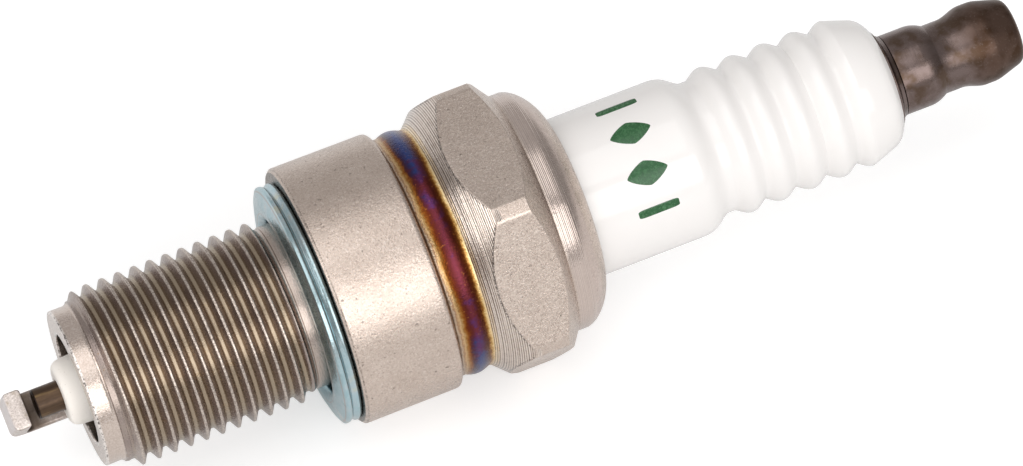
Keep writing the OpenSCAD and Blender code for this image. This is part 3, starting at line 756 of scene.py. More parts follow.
# %% Helper: a finish
class Finish(Nodes):
    """A material, with the calls that lay colours and bumps over each other."""

    def __init__(self, name, metallic=0.0):
        self.material = bpy.data.materials.new(name)
        self.material.use_nodes = True
        super().__init__(self.material.node_tree, "Object")
        self.shader = self.tree.nodes["Principled BSDF"]
        self.feed("Metallic", metallic)
        self.base = self.height = None
        self.x, self.y, self.z = [self.math("DIVIDE", part, MM) for part in self.split(self.place)]

    def feed(self, name, value):
        """Gives the shader one of its values."""
        self.link(value, self.shader.inputs[name])

    def paint(self, colour):
        """The first colour."""
        self.base = colour
        self.feed("Base Color", colour)

    def lay(self, mask, colour):
        """A colour over what is there, where the mask is 1."""
        self.paint(self.blend(mask, self.base, colour))

    def bump(self, height, depth, strength=1.0):
        """Adds a bump of depth mm on top of those before it."""
        node = self.add("ShaderNodeBump")
        node.inputs["Distance"].default_value = depth * MM
        node.inputs["Strength"].default_value = strength
        self.link(height, node.inputs["Height"])
        if self.height is not None:
            self.link(self.height, node.inputs["Normal"])
        self.height = node.outputs[0]
        self.feed("Normal", self.height)

    def from_axis(self, centre_z=0.0):
        """Distance from the plug's axis in mm, or from one that lies centre_z above it: the
        root of y squared plus z squared."""
        z = self.math("SUBTRACT", self.z, centre_z) if centre_z else self.z
        squares = [self.math("POWER", part, 2.0) for part in (self.y, z)]
        return self.math("SQRT", self.total(*squares))

    def aim(self, y, z, y_part, z_part):
        """How far (y, z) lies towards (y_part, z_part): the sum of their products."""
        return self.total(self.product(y, y_part), self.product(z, z_part))

    def stretched(self, *scales):
        """Coordinates scaled along x, y and z: a small scale draws a pattern out."""
        node = self.add("ShaderNodeMapping")
        node.inputs["Scale"].default_value = scales
        self.link(self.place, node.inputs["Vector"])
        return node.outputs[0]

    def noise(self, size, detail=4.0, rough=0.55, where=None):
        """Cloudy noise whose clouds are about size mm wide."""
        node = self.add("ShaderNodeTexNoise")
        self.link(where or self.place, node.inputs["Vector"])
        node.inputs["Scale"].default_value = 1 / (size * MM)
        node.inputs["Detail"].default_value = detail
        node.inputs["Roughness"].default_value = rough
        return node.outputs[0]

    def rings(self, size, seed=0.0):
        """Turning marks: noise that depends on x alone, so it makes uneven rings about size
        mm wide."""
        node = self.add("ShaderNodeTexNoise", noise_dimensions="1D")
        self.link(self.total(self.x, seed), node.inputs["W"])
        node.inputs["Scale"].default_value = 1 / size
        node.inputs["Detail"].default_value = 2
        return node.outputs[0]

    def sway(self, pattern, width):
        """A pattern made to swing about zero, width from 0 to 1."""
        return self.product(self.math("SUBTRACT", pattern, 0.5), width)


# %% [markdown]
# Two more helpers say what a finish is put on. A new piece also names the body it rides on and the
# CAD node that it stands for.

# %% Helpers: putting a finish on
def wear(piece, finish, slot, body_name, *nodes):
    """Gives a new piece its finish, its body and the CAD nodes that it stands for. slot is not
    used."""
    piece.data.materials.append(finish.material)
    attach(piece, body_name)
    if nodes:
        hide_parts(*nodes)
    print(piece.name, "wears", finish.material.name, "and rides on", body_name)


def dress(node, finish):
    """Gives a CAD node that stays a better material."""
    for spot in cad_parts[node].material_slots:
        spot.material = finish.material
    print(node, "keeps its solid and wears", finish.material.name)


# %% [markdown]
# ## Nickel plate
# Dull nickel over turned steel: a warm grey metal whose grain sparkles at the edge of a
# highlight, with cloudy patches and small dark pits. A plain rough metal would look like
# plastic here. One fine noise drives both the colour and the bump, so that bright and dark
# grains also catch the light.

# %% Nickel plate: colour
plate = Finish("nickel_plate", metallic=1.0)
plate_r = plate.from_axis()
cloud = plate.noise(2.6, 4, 0.6)
grain = plate.noise(0.15, 3, 0.7)
coarse = plate.noise(0.26, 2, 0.6)
pits = plate.noise(0.34, 2, 0.5)
plate.paint(plate.spread(cloud, (0.54, 0.445, 0.384), (0.61, 0.51, 0.445)))
plate.lay(plate.above(grain, 0.54, 0.78, 0.7), (0.86, 0.78, 0.72))
plate.lay(plate.below(grain, 0.24, 0.45, 0.75), (0.27, 0.21, 0.18))
plate.lay(plate.above(pits, 0.68, 0.74, 0.65), (0.15, 0.12, 0.10))
plate.tell("nickel plate, colour")

# %% [markdown]
# ## Heat tint
# A current through the waist heated it when the body was closed, and the oxide runs through straw,
# gold, brown, purple and blue towards the hottest place. A ramp along x holds those colours. Its
# core has three versions: wine red on the side that faces the camera and the front lamp, and blue
# on the other, partly the real tint and partly painted light.

# %% Heat tint: colours along x
HEAT = (7.6, 10.95)
CORE_X = (8.70, 8.92, 9.25, 9.50, 9.75)
CREAM_SIDE = [(7.64, (0.46, 0.38, 0.33)), (7.72, (0.26, 0.20, 0.165)),
              (7.84, (0.24, 0.165, 0.12)), (7.97, (0.50, 0.38, 0.28)),
              (8.08, (0.34, 0.20, 0.11)), (8.20, (0.56, 0.37, 0.20)),
              (8.33, (0.44, 0.27, 0.11)), (8.44, (0.33, 0.15, 0.040)),
              (8.56, (0.23, 0.072, 0.013))]
CORES = {"wine": [(0.13, 0.027, 0.008), (0.105, 0.020, 0.018), (0.150, 0.030, 0.045),
                  (0.125, 0.024, 0.026), (0.080, 0.015, 0.010)],
         "violet": [(0.10, 0.022, 0.014), (0.085, 0.020, 0.050), (0.110, 0.035, 0.120),
                    (0.095, 0.028, 0.085), (0.085, 0.020, 0.030)],
         "blue": [(0.065, 0.022, 0.030), (0.038, 0.030, 0.095), (0.040, 0.060, 0.200),
                  (0.048, 0.062, 0.175), (0.070, 0.036, 0.080)]}
GOLD_SIDE = [(9.98, (0.105, 0.028, 0.007)), (10.12, (0.21, 0.078, 0.016)),
             (10.24, (0.50, 0.29, 0.09)), (10.38, (0.78, 0.57, 0.29)),
             (10.60, (0.70, 0.54, 0.36)), (10.90, (0.58, 0.48, 0.41))]
wobble = plate.sway(plate.noise(2.4, 2), 0.45)
mottle = plate.sway(plate.noise(0.26, 3, 0.65), 0.42)
heat_x = plate.total(plate.x, wobble, mottle)
tints = {name: plate.steps(heat_x, *HEAT, *CREAM_SIDE, *zip(CORE_X, core), *GOLD_SIDE)
         for name, core in CORES.items()}
print("heat tint:", len(CREAM_SIDE) + len(CORE_X) + len(GOLD_SIDE), "colours from", *HEAT, "mm")

# %% [markdown]
# Two noises push the ramp to and fro, because no real tint has straight edges. The side of the
# plug chooses the core: the closer to the side that faces the camera and the front lamp, the
# redder, partly real tint and partly painted light. Rusty specks lie over it.

# %% Heat tint: laid round the waist
REDDEST_SIDE = math.radians(46)
HEATED_X = (7.68, 10.75)
# partly painted light: the core turns red towards the side that faces the camera and the front
# lamp
facing_red_side = plate.math("DIVIDE", plate.aim(plate.y, plate.z, -math.cos(REDDEST_SIDE),
                                             math.sin(REDDEST_SIDE)), plate_r)
red_side = plate.total(facing_red_side, plate.sway(plate.noise(1.3, 3, 0.6), 1.1))
tint = plate.blend(plate.above(red_side, 0.58, 0.72), tints["blue"], tints["violet"])
tint = plate.blend(plate.above(red_side, 0.76, 0.90), tint, tints["wine"])
speck_noise = plate.noise(0.20, 2, 0.5, where=plate.stretched(0.7, 1.0, 1.0))
tint = plate.blend(plate.above(speck_noise, 0.66, 0.72, 0.7), tint, (0.33, 0.13, 0.035))
heated = plate.between(plate.x, *HEATED_X, 0.05)
plate.lay(heated, tint)
plate.tell("nickel plate, heat tint")

# %% [markdown]
# ## Dirt and the hexagon's faces
# Where the rolled rim meets the insulator, a line of dull green-brown dirt has stayed. To
# finish flats and bevels in their own ways, the nodes work out which face a point is on:
# a flat is where the distance to the nearest flat's plane is its full size.

# %% Nickel plate: dirt and masks
DIRT_X, DIRT_R = (19.6, 21.0), (6.0, 6.9)
FRONT_BEVEL_X, BACK_BEVEL_X = (HEX_X, 13.3), (14.9, 17.2)
SHOULDER_TOOLED_X, SHOULDER_SMOOTH_X = (17.25, 18.65), (17.25, 19.4)
rim_dirt = plate.product(plate.between(plate.x, *DIRT_X, 0.25),
                         plate.between(plate_r, *DIRT_R, 0.35),
                         plate.above(plate.noise(0.35, 3, 0.65), 0.46, 0.58, 0.85))
plate.lay(rim_dirt, (0.085, 0.085, 0.045))
round_angle = plate.math("SUBTRACT", plate.math("ARCTAN2", plate.z, plate.y), SECTOR / 2)
off_middle = plate.math("PINGPONG", round_angle, SECTOR / 2)
to_flat = plate.product(plate_r, plate.math("COSINE", off_middle))
flat = plate.fraction(to_flat, HEX_FLAT_R - 0.04, HEX_FLAT_R - 0.015)
bevels = plate.math("SUBTRACT", 1.0, flat)
front_bevel = plate.product(bevels, plate.between(plate.x, *FRONT_BEVEL_X, 0.06))
back_bevel = plate.product(bevels, plate.between(plate.x, *BACK_BEVEL_X, 0.06))
shoulder = plate.between(plate.x, *SHOULDER_TOOLED_X, 0.1)
turned_smooth = plate.between(plate.x, *SHOULDER_SMOOTH_X, 0.15)
plate.tell("nickel plate, dirt and masks")

# %% [markdown]
# ## Tool marks
# The turned surfaces keep their tool marks: rings of uneven width, deep on the front bevel
# of the hexagon, fainter on the shoulder and the back bevel. A wave texture would be too
# even. A sine of x, whose phase a slow noise pushes about, has the lathe's steady feed and
# still wanders.

# %% Nickel plate: tool marks
MARK_WIDTH = 0.128
tooled = plate.total(front_bevel, plate.product(back_bevel, 0.18), plate.product(shoulder, 0.45))
waver = plate.sway(plate.rings(0.9, 31.0), 5.0)
marks = plate.math("SINE", plate.total(plate.product(plate.x, 2 * math.pi / MARK_WIDTH), waver))
marks = plate.total(plate.product(marks, 0.34), plate.rings(0.11),
                    plate.product(plate.noise(0.5, 2), 0.35))
plate.lay(plate.product(tooled, plate.below(marks, 0.32, 0.58, 0.78)), (0.17, 0.13, 0.11))
plate.lay(plate.product(tooled, plate.above(marks, 0.78, 1.0, 0.7)), (0.88, 0.82, 0.76))
plate.tell("nickel plate, tool marks")

# %% [markdown]
# ## Edges, flats and the shaded face
# Knocks have nicked the edges, and tumbling with other plugs has peened the flats with bright and
# dark grains. The face behind the gasket sees no light and is painted dark as painted shade. Real
# dents would need millions of faces, so masks and noises draw them.

# %% Nickel plate: edges and flats
HEX_EDGE_X, COLLAR_EDGE_X = (10.6, 13.4), (0.13, 0.24)
hex_edge = plate.product(plate.between(plate.x, *HEX_EDGE_X, 0.05),
                         plate.fraction(plate_r, HEX_CORNER_R - 0.08, HEX_CORNER_R - 0.14),
                         plate.between(to_flat, HEX_FLAT_R - 0.15, HEX_FLAT_R - 0.035, 0.03))
collar_edge = plate.product(plate.between(plate.x, *COLLAR_EDGE_X, 0.03),
                            plate.fraction(plate_r, COLLAR_R - 0.2, COLLAR_R - 0.1), 0.6)
nicks = plate.above(plate.noise(0.17, 2, 0.6), 0.44, 0.56, 0.85)
plate.lay(plate.product(plate.math("MAXIMUM", hex_edge, collar_edge), nicks), (0.10, 0.08, 0.07))
# painted shade: the collar's face behind the gasket is painted nearly black
shaded_face = plate.product(plate.fraction(plate.x, 0.05, 0.02),
                            plate.fraction(plate_r, COLLAR_R - 0.2, COLLAR_R - 0.28))
plate.lay(plate.product(shaded_face, 0.8), (0.075, 0.068, 0.058))
peened = plate.noise(0.10, 2, 0.5)
plate.lay(plate.product(flat, plate.above(peened, 0.57, 0.70, 0.45)), (0.86, 0.79, 0.72))
plate.lay(plate.product(flat, plate.below(peened, 0.30, 0.43, 0.5)), (0.28, 0.225, 0.195))
plate.lay(plate.product(turned_smooth, 0.6),
          plate.blend(cloud, (0.54, 0.445, 0.41), (0.60, 0.50, 0.455)))
plate.tell("nickel plate, edges and flats")

# %% [markdown]
# ## Gloss and relief of the plate
# The plate is satin, but smoother where a tool or the heat went over it last. The bumps
# repeat the tool marks and the grain, and are fainter on the smooth parts.

# %% Nickel plate: gloss and relief
satin = plate.spread(plate.noise(0.5, 4, 0.7), 0.20, 0.33)
polished = plate.math("MAXIMUM", plate.product(heated, 0.8), shoulder)
polished = plate.math("MAXIMUM", polished, front_bevel)
plate.feed("Roughness", plate.blend(plate.product(polished, 0.7), satin, 0.14))
smooth = plate.product(plate.math("MAXIMUM", turned_smooth, front_bevel), 0.75)
even = plate.math("SUBTRACT", 1.0, plate.total(smooth, plate.product(flat, 0.3)))
plate.bump(plate.product(tooled, marks), 0.018, 0.8)
plate.bump(plate.product(shoulder, marks), 0.012, 0.8)
plate.bump(plate.product(grain, even), 0.05, 0.65)
plate.bump(plate.product(coarse, even), 0.035, 0.45)
plate.bump(plate.noise(0.9, 3, 0.6), 0.05, 0.35)
wear(hexagonal_body, plate, "nickel_plated_steel", "plug", "metal_shell")

# %% [markdown]
# ## Rolled thread
# The thread has the same plate, but darker and browner: partly a thinner plate, partly painted
# shade between the ridges. Its crests are painted lighter, partly scuffed by handling and partly a
# painted glint, and its roots a darker gold, partly painted shade in the hollows. Its flanks keep
# fine streaks from the dies, and brown spots sit where the plate is thin. A vertex group could
# hold the crests, but the distance from the axis tells crest, flank and root apart for nothing.

# %% Thread plate: crest, flank and root
rolled = Finish("thread_plate", metallic=1.0)
thread_r = rolled.from_axis()
grain = rolled.noise(0.13, 3, 0.7)
# partly painted shade: the thread's plate is painted darker than the body's, partly its own
# browner colour
rolled.paint(rolled.spread(rolled.noise(2.2, 4, 0.6), (0.30, 0.240, 0.220), (0.39, 0.325, 0.285)))
rolled.lay(rolled.above(rolled.noise(0.55, 4, 0.7), 0.60, 0.70, 0.6), (0.34, 0.20, 0.10))
ROOT_R = CREST_R - THREAD_DEPTH
root = rolled.product(rolled.fraction(thread_r, ROOT_R + 0.18, ROOT_R + 0.04, "SMOOTHSTEP"),
                      rolled.fraction(rolled.x, THREAD_X0 + 0.4, THREAD_X0 + 1.0))
# partly painted shade: the roots are painted a darker gold, partly the plate's colour
rolled.lay(rolled.product(root, 0.75), (0.33, 0.26, 0.175))
# partly painted glint: the crests are painted lighter, partly scuffed plate
crest_wear_and_glint = rolled.blend(rolled.above(grain, 0.38, 0.62), (0.30, 0.245, 0.215), (0.66, 0.58, 0.515))
uneven_r = rolled.total(thread_r, rolled.product(rolled.noise(0.22, 3, 0.6), 0.14))
rolled.lay(rolled.fraction(uneven_r, CREST_R - 0.03, CREST_R + 0.02), crest_wear_and_glint)
rolled.tell("thread plate, crest, flank and root")

# %% [markdown]
# The pilot in front of the thread is as bright as the body, and the neck behind it a little
# darker. Both edges of the end face are painted as a bright line, a painted highlight, with dark
# nicks in it. The bore behind the inner edge is painted darker.

# %% Thread plate: pilot, neck and bore
pilot = rolled.fraction(rolled.x, THREAD_X0, THREAD_X0 - 0.12, "SMOOTHSTEP")
neck = rolled.fraction(rolled.x, THREAD_X1 - 0.46, THREAD_X1 - 0.16, "SMOOTHSTEP")
pilot_metal = rolled.ramp(grain, (0.22, (0.47, 0.385, 0.335)), (0.45, (0.57, 0.475, 0.415)),
                          (0.75, (0.72, 0.64, 0.59)))
rolled.lay(pilot, pilot_metal)
rolled.lay(neck, rolled.blend(0.6, pilot_metal, (0.34, 0.28, 0.245)))
edge_out = rolled.product(rolled.fraction(rolled.x, END_X + 0.2, END_X + 0.12),
                          rolled.fraction(thread_r, PILOT_R - 0.25, PILOT_R - 0.17))
edge_in = rolled.product(rolled.fraction(rolled.x, END_X + 0.25, END_X + 0.15),
                         rolled.fraction(thread_r, NOSE_BORE_R + 0.3, NOSE_BORE_R + 0.22))
edge_highlight_and_nicks = rolled.math("MAXIMUM", edge_out, edge_in)
# painted highlight: both edges of the end face are painted as a bright line
rolled.lay(rolled.product(edge_highlight_and_nicks, 0.8), (0.90, 0.84, 0.80))
nicks = rolled.above(rolled.noise(0.19, 2, 0.6), 0.52, 0.60, 0.85)
rolled.lay(rolled.product(edge_highlight_and_nicks, nicks), (0.09, 0.07, 0.06))
# the bore behind the inner edge is painted darker
bore = rolled.product(rolled.fraction(thread_r, NOSE_BORE_R + 0.22, NOSE_BORE_R + 0.12),
                      rolled.fraction(rolled.x, END_X + 0.08, END_X + 0.18))
rolled.lay(rolled.product(bore, 0.9), (0.13, 0.105, 0.085))
rolled.tell("thread plate, pilot, neck and bore")

# %% [markdown]
# Gloss and relief follow: the turned ends are smoother than the rolled flanks, the run-in
# of the thread shows the rings of the tool, and the rest has the dies' fine streaks.

# %% Thread plate: gloss and relief
satin = rolled.spread(rolled.noise(0.5, 4, 0.7), 0.19, 0.34)
turned_ends = rolled.product(rolled.math("MAXIMUM", pilot, neck), 0.7)
rolled.feed("Roughness", rolled.blend(turned_ends, satin, 0.15))
run_in = rolled.between(rolled.x, THREAD_X0 - 0.05, THREAD_X0 + 0.7, 0.1)
rolled.bump(rolled.product(run_in, rolled.rings(0.10)), 0.04, 0.8)
rolled.bump(rolled.noise(0.14, 3, 0.6, where=rolled.stretched(2.2, 0.6, 0.6)), 0.015, 0.6)
rolled.bump(grain, 0.025, 0.6)
rolled.bump(rolled.noise(0.5, 3, 0.6), 0.03, 0.5)
wear(threaded_shank, rolled, "nickel_plated_steel", "plug", "metal_shell")

# %% [markdown]
# ## Blue zinc
# The gasket is zinc plated and passivated clear blue, with a faint yellow and pink play of colour
# where the film is thicker. Thin-film nodes would shift with the view, so a slow noise sets the
# film's colour, and the side that faces the camera and the lamps is painted greyer: a painted
# sheen that stands in for that shift. Pressing has left a brown line at both bends.

# %% Blue zinc
BEND_LINES = ((7.36, 7.44), (8.96, 9.06))
zinc = Finish("blue_zinc", metallic=1.0)
zinc_z = zinc.math("SUBTRACT", zinc.z, GASKET_DROP)
zinc_r = zinc.from_axis(GASKET_DROP)
zinc.paint(zinc.ramp(zinc.noise(2.6, 3, 0.6), (0.32, (0.31, 0.46, 0.51)),
                     (0.50, (0.37, 0.53, 0.58)), (0.62, (0.46, 0.56, 0.60)),
                     (0.70, (0.54, 0.57, 0.49))))
# painted sheen: the side that faces the camera is painted greyer
camera_side_sheen = zinc.math("DIVIDE", zinc.aim(zinc.y, zinc_z, -0.55, 0.83), zinc_r)
zinc.lay(zinc.product(zinc.above(camera_side_sheen, 0.62, 0.90), 0.4), (0.42, 0.47, 0.47))
bend_lines = zinc.total(*[zinc.between(zinc_r, *line, 0.03) for line in BEND_LINES])
zinc.lay(zinc.product(bend_lines, 0.7), (0.38, 0.30, 0.27))
crystals = zinc.noise(0.13, 3, 0.7)
zinc.lay(zinc.above(crystals, 0.56, 0.74, 0.7), (0.80, 0.84, 0.84))
zinc.feed("Roughness", zinc.spread(zinc.noise(0.5, 4, 0.6), 0.15, 0.28))
zinc.bump(crystals, 0.02, 0.5)
zinc.bump(zinc.noise(0.7, 3, 0.6), 0.05, 0.4)
wear(gasket_ring, zinc, "zinc_plated_sheet", "gasket_ring", "gasket")

# %% [markdown]
# ## Fired pin
# The pin went through the furnace with the insulator, and its skin is brown with a few
# golden streaks along it. The streaks are a noise drawn out along x. The edge of the tip
# has burnt darker, so a thin ring of x gets its own colour.

# %% Fired pin
fired = Finish("fired_pin", metallic=1.0)
streak = fired.noise(0.7, 3, 0.6, where=fired.stretched(0.12, 1.3, 1.3))
fired.paint(fired.ramp(streak, (0.34, (0.070, 0.047, 0.034)), (0.54, (0.105, 0.068, 0.044)),
                       (0.68, (0.23, 0.155, 0.080))))
fired.lay(fired.between(fired.x, TIP_X + 0.01, TIP_X + 0.13, 0.02), (0.030, 0.022, 0.018))
fired.feed("Roughness", fired.spread(fired.noise(0.3, 3), 0.3, 0.5))
fired.bump(fired.noise(0.15, 3, 0.6), 0.008, 0.4)
wear(centre_pin, fired, "fired_nickel_alloy", "plug", "center_electrode")

# %% [markdown]
# ## Bare strap
# The strap is bare alloy. Its skin is speckled, with a few brown stains. Its front face, away from
# the pin, is painted lighter: a painted reflection of the bright surroundings. The face towards
# the pin is painted darker, partly a brown stain and partly painted shade, and behind the gap
# nearly black: painted shade and a painted reflection of the dark pin. Masks in the wire's own
# plane find those faces: the distance below the axis, and x.

# %% Bare strap
LEG_INSIDE = (PILOT_R + NOSE_BORE_R - STRAP_T) / 2
FOOT_INSIDE_X, FOOT_OUTSIDE_X = TIP_X - GAP, TIP_X - GAP - STRAP_T
bare = Finish("bare_strap", metallic=1.0)
dust = bare.noise(0.13, 4, 0.75)
bare.paint(bare.ramp(dust, (0.28, (0.26, 0.215, 0.19)), (0.46, (0.52, 0.455, 0.42)),
                     (0.72, (0.80, 0.74, 0.70))))
bare.lay(bare.above(bare.noise(0.7, 3, 0.6), 0.52, 0.66, 0.6), (0.34, 0.27, 0.20))
below_axis = bare.aim(bare.y, bare.z, math.sin(STRAP_TURN), -math.cos(STRAP_TURN))
facing_pin = bare.product(bare.fraction(below_axis, LEG_INSIDE + 0.135, LEG_INSIDE - 0.005),
                          bare.fraction(bare.x, FOOT_INSIDE_X - 0.08, FOOT_INSIDE_X + 0.02))
# partly painted shade, partly brown stain: the face towards the pin is painted darker
bare.lay(bare.product(facing_pin, 0.6), (0.24, 0.195, 0.17))
behind_gap = bare.product(facing_pin, bare.fraction(bare.x, TIP_X + 1.2, TIP_X + 0.2))
# painted shade and a painted reflection of the pin: behind the gap the face is painted nearly
# black
bare.lay(bare.product(behind_gap, 0.9), (0.085, 0.062, 0.046))
front_face = bare.fraction(bare.x, FOOT_OUTSIDE_X + 0.12, FOOT_OUTSIDE_X + 0.03)
# painted reflection: the front face of the foot is painted lighter
bare.lay(bare.product(front_face, 0.8), (0.60, 0.55, 0.54))
bare.feed("Roughness", bare.spread(bare.noise(0.3, 3), 0.28, 0.48))
bare.bump(dust, 0.012, 0.6)
wear(bent_strap, bare, "nickel_alloy", "plug", "ground_electrode")

# %% [markdown]
# ## Tarnished terminal
# Stud and nut are steel with a thin brown oxide. Large soft stains, a fine grain and
# faint tool rings are enough; the head is the darkest, brownest and dullest part.

# %% Tarnished terminal
dark = Finish("tarnished_steel", metallic=1.0)
stain = dark.noise(1.5, 3, 0.5)
steel_grey = dark.ramp(stain, (0.40, (0.175, 0.132, 0.122)), (0.52, (0.140, 0.102, 0.090)),
                       (0.60, (0.105, 0.070, 0.052)))
towards_head = dark.fraction(dark.x, NUT_WAIST_X1 - 0.12, HEAD_X + 0.58, "SMOOTHSTEP")
browner = dark.blend(1.0, steel_grey, (0.62, 0.52, 0.43), "MULTIPLY")
dark.paint(dark.blend(towards_head, steel_grey, browner))
dark.lay(dark.above(dark.noise(0.16, 3, 0.7), 0.58, 0.78, 0.5), (0.24, 0.20, 0.18))
patina = dark.ramp(stain, (0.36, 0.23), (0.64, 0.32))
dark.feed("Roughness", dark.blend(towards_head, patina, 0.38))
dark.bump(dark.noise(0.18, 3, 0.7), 0.02, 0.5)
dark.bump(dark.rings(0.14), 0.012, 0.3)
wear(turned_nut, dark, "darkened_steel", "cap_nut", "terminal_nut")
wear(stud_and_collar, dark, "darkened_steel", "plug", "terminal_stud")

# %% [markdown]
# ## Glazed alumina
# White fired body under a clear glaze: a diffuse white with a sharp reflection on top.
# Light that wanders inside the body could be added, but a body this dense hardly shows it.
# The nose isn't glazed, so there the gloss goes, and small specks show.

# %% Glaze
GLAZE_IOR, NOSE_X = 1.52, (-30, -10)
glaze = Finish("glazed_alumina")
nose = glaze.between(glaze.x, *NOSE_X, 0.5)
raw = glaze.blend(glaze.noise(0.7, 4, 0.6), (0.87, 0.815, 0.755), (0.92, 0.87, 0.81))
raw = glaze.blend(glaze.above(glaze.noise(0.22, 2), 0.70, 0.74, 0.5), raw, (0.42, 0.36, 0.30))
glaze.paint(glaze.blend(glaze.noise(5.0, 3), (0.855, 0.828, 0.808), (0.88, 0.853, 0.833)))
glaze.lay(nose, raw)
glaze.feed("Roughness", glaze.blend(nose, 0.08, 0.55))
glaze.feed("IOR", GLAZE_IOR)
glaze.bump(glaze.noise(2.5, 2), 0.015, 0.3)
wear(glazed_insulator, glaze, "glazed_alumina", "plug", "insulator")

# %% [markdown]
# ## Green ink
# The print is a dark green ceramic ink, fired under a little glaze: slightly uneven in
# strength, nearly as glossy as what lies round it.

# %% Green ink
ink = Finish("green_ink")
cover = ink.noise(0.30, 4, 0.65)
ink.paint(ink.ramp(cover, (0.30, (0.012, 0.075, 0.022)), (0.62, (0.030, 0.125, 0.042)),
                   (0.78, (0.10, 0.24, 0.11))))
ink.feed("Roughness", ink.spread(cover, 0.18, 0.34))
ink.bump(cover, 0.006, 0.4)
for patch in printed_marks:
    wear(patch, ink, "glazed_alumina", "plug")

# %% [markdown]
# ## Hidden pieces
# The pieces inside keep their CAD solids and get finishes of their own, so that a cut
# through the plug would still look right. Two colours and a grain are enough for each.

# %% Hidden pieces
def plain(name, colours, grain_size, metallic, roughness):
    """A finish of two mixed colours with a grain of the given size in mm. colours and
    roughness are pairs."""
    finish = Finish(name, metallic)
    fleck = finish.noise(grain_size, 4, 0.6)
    finish.paint(finish.spread(fleck, *colours))
    finish.feed("Roughness", finish.spread(fleck, *roughness))
    finish.bump(fleck, 0.008, 0.4)
    return finish


drawn_copper = plain("drawn_copper", ((0.55, 0.24, 0.13), (0.72, 0.36, 0.22)), 0.3, 1.0,
                     (0.25, 0.4))
seal_glass = plain("seal_glass", ((0.06, 0.045, 0.04), (0.16, 0.11, 0.09)), 0.4, 0.0,
                   (0.15, 0.35))
pressed_talc = plain("pressed_talc", ((0.72, 0.70, 0.66), (0.82, 0.80, 0.76)), 0.2, 0.0,
                     (0.8, 0.95))
plain_steel = plain("plain_steel", ((0.42, 0.40, 0.38), (0.56, 0.54, 0.51)), 0.25, 1.0,
                    (0.3, 0.45))
for node, finish in (("copper_core", drawn_copper), ("glass_seal", seal_glass),
                     ("talc_fill", pressed_talc), ("seat_washer", plain_steel),
                     ("lower_packing_ring", plain_steel), ("upper_packing_ring", plain_steel)):
    dress(node, finish)

# %% [markdown]
# ## Floor
# The plug lies on a plain white floor. More light would whiten the floor, but the plug too.
# So the floor glows a little, for the camera and for reflections only, and the rest of its
# brightness comes from the lamps. That keeps the plug's soft shadow.

# %% Floor
FLOOR_SIZE, FLOOR_WHITE, CAMERA_GLOW, MIRROR_GLOW = 6, 0.78, 0.42, 0.12
bpy.ops.mesh.primitive_plane_add(size=FLOOR_SIZE, location=(0, 0, cad_box[0][2]))
floor = bpy.context.object
floor.name = "floor"
floor_paint = Finish("floor_paint")
floor_paint.tree.nodes.remove(floor_paint.shader)
rays = floor_paint.add("ShaderNodeLightPath").outputs
mirrored = floor_paint.math("MAXIMUM", rays["Is Glossy Ray"], rays["Is Transmission Ray"])
shine = floor_paint.math("MAXIMUM", floor_paint.product(rays["Is Camera Ray"], CAMERA_GLOW),
                         floor_paint.product(mirrored, MIRROR_GLOW))
lit = floor_paint.add("ShaderNodeBsdfDiffuse")
floor_paint.link(FLOOR_WHITE, lit.inputs["Color"])
glow = floor_paint.add("ShaderNodeEmission")
floor_paint.link(shine, glow.inputs["Strength"])
both = floor_paint.add("ShaderNodeAddShader")
floor_paint.link(lit.outputs[0], both.inputs[0])
floor_paint.link(glow.outputs[0], both.inputs[1])
floor_paint.link(both.outputs[0], floor_paint.tree.nodes["Material Output"].inputs["Surface"])
floor.data.materials.append(floor_paint.material)
print("floor at", round(cad_box[0][2] / MM, 2), "mm")

# %% [markdown]
# ## Soft boxes
# Metal shows its lamps, so they are rectangles, as in a photographer's studio. The first
# box stands low in front and gives the long highlight of every cylinder. The second hangs
# overhead and is weaker. The third, a small one beyond the electrode's end, lights what
# leans that way: the cone in front of the hexagon and the sides of the waist.

# %% Soft boxes
BOX_DISTANCE = 0.5


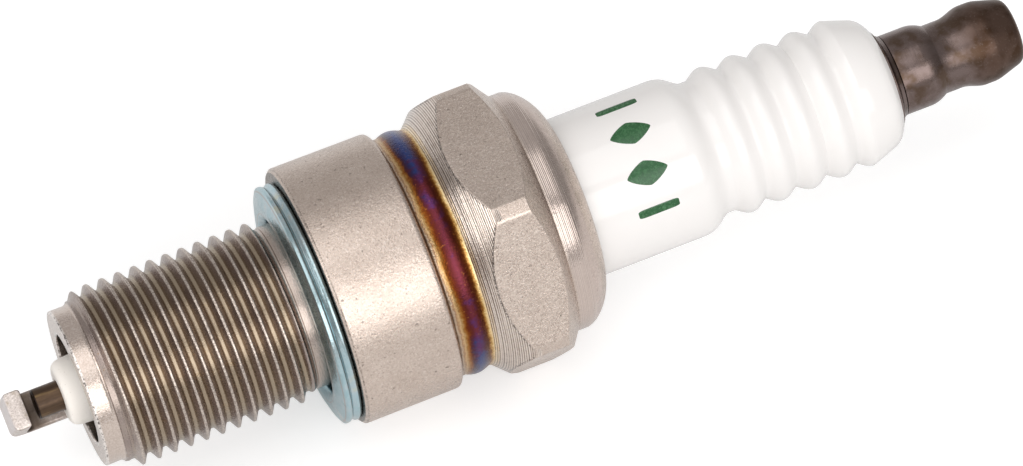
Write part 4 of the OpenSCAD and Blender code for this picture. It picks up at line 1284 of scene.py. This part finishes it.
def box_lamp(name, centre, toward, side, width, height, radiance):
    """A rectangular lamp at centre, width along side. toward points from the plug to it, and
    radiance is how bright its face looks: its power over pi times its area."""
    lamp = bpy.data.lights.new(name, "AREA")
    lamp.shape = "RECTANGLE"
    lamp.size, lamp.size_y = width, height
    lamp.energy = radiance * math.pi * lamp.size * lamp.size_y
    axes = Matrix((side, toward.cross(side), toward)).transposed().to_4x4()
    add_object(name, lamp).matrix_world = Matrix.Translation(centre) @ axes
    print(name, round(width, 3), "x", round(height, 3), "m,", round(lamp.energy, 2), "W")


def soft_box(name, angle, spread, radiance, from_x, to_x):
    """A lamp along the plug, at an angle round it from the camera's side, that fills spread
    degrees as seen from the plug, from one x to another."""
    a = TILT + math.radians(angle)
    toward, side = Vector((0, -math.cos(a), math.sin(a))), Vector((1, 0, 0))
    centre = toward * BOX_DISTANCE + side * (from_x + to_x) / 2
    height = 2 * BOX_DISTANCE * math.tan(math.radians(spread / 2))
    box_lamp(name, centre, toward, side, to_x - from_x, height, radiance)


soft_box("front_box", -22.5, 39, 1.98, -0.35, 0.35)
soft_box("top_box", 30, 46, 1.06, -0.55, 0.17)
box_lamp("end_box", Vector((-BOX_DISTANCE, 0.01, 0.13)), Vector((-1, 0, 0)), Vector((0, 1, 0)),
         0.28, 0.26, 2.3)

# %% [markdown]
# ## Sky
# A pale sky fills what the boxes leave. It is a little darker towards both ends of the
# plug, which gives the flanks of the thread their depth. The camera itself sees it white.

# %% Sky
SKY_COLOUR = (1.0, 0.99, 0.985)
SKY_ASIDE, SKY_END_ON = 0.57, 0.36
world = bpy.data.worlds.new("sky")
bpy.context.scene.world = world
world.use_nodes = True
sky = Nodes(world.node_tree, "Generated")
end_on = sky.math("ABSOLUTE", sky.split(sky.place)[0])
fade = sky.fraction(end_on, 0.35, 0.95, "SMOOTHSTEP", SKY_ASIDE, SKY_END_ON)
seen = sky.math("MAXIMUM", fade, sky.add("ShaderNodeLightPath").outputs["Is Camera Ray"])
background = sky.tree.nodes["Background"]
sky.link(SKY_COLOUR, background.inputs["Color"])
sky.link(seen, background.inputs["Strength"])
print("sky strength", SKY_ASIDE, "aside and", SKY_END_ON, "end on")
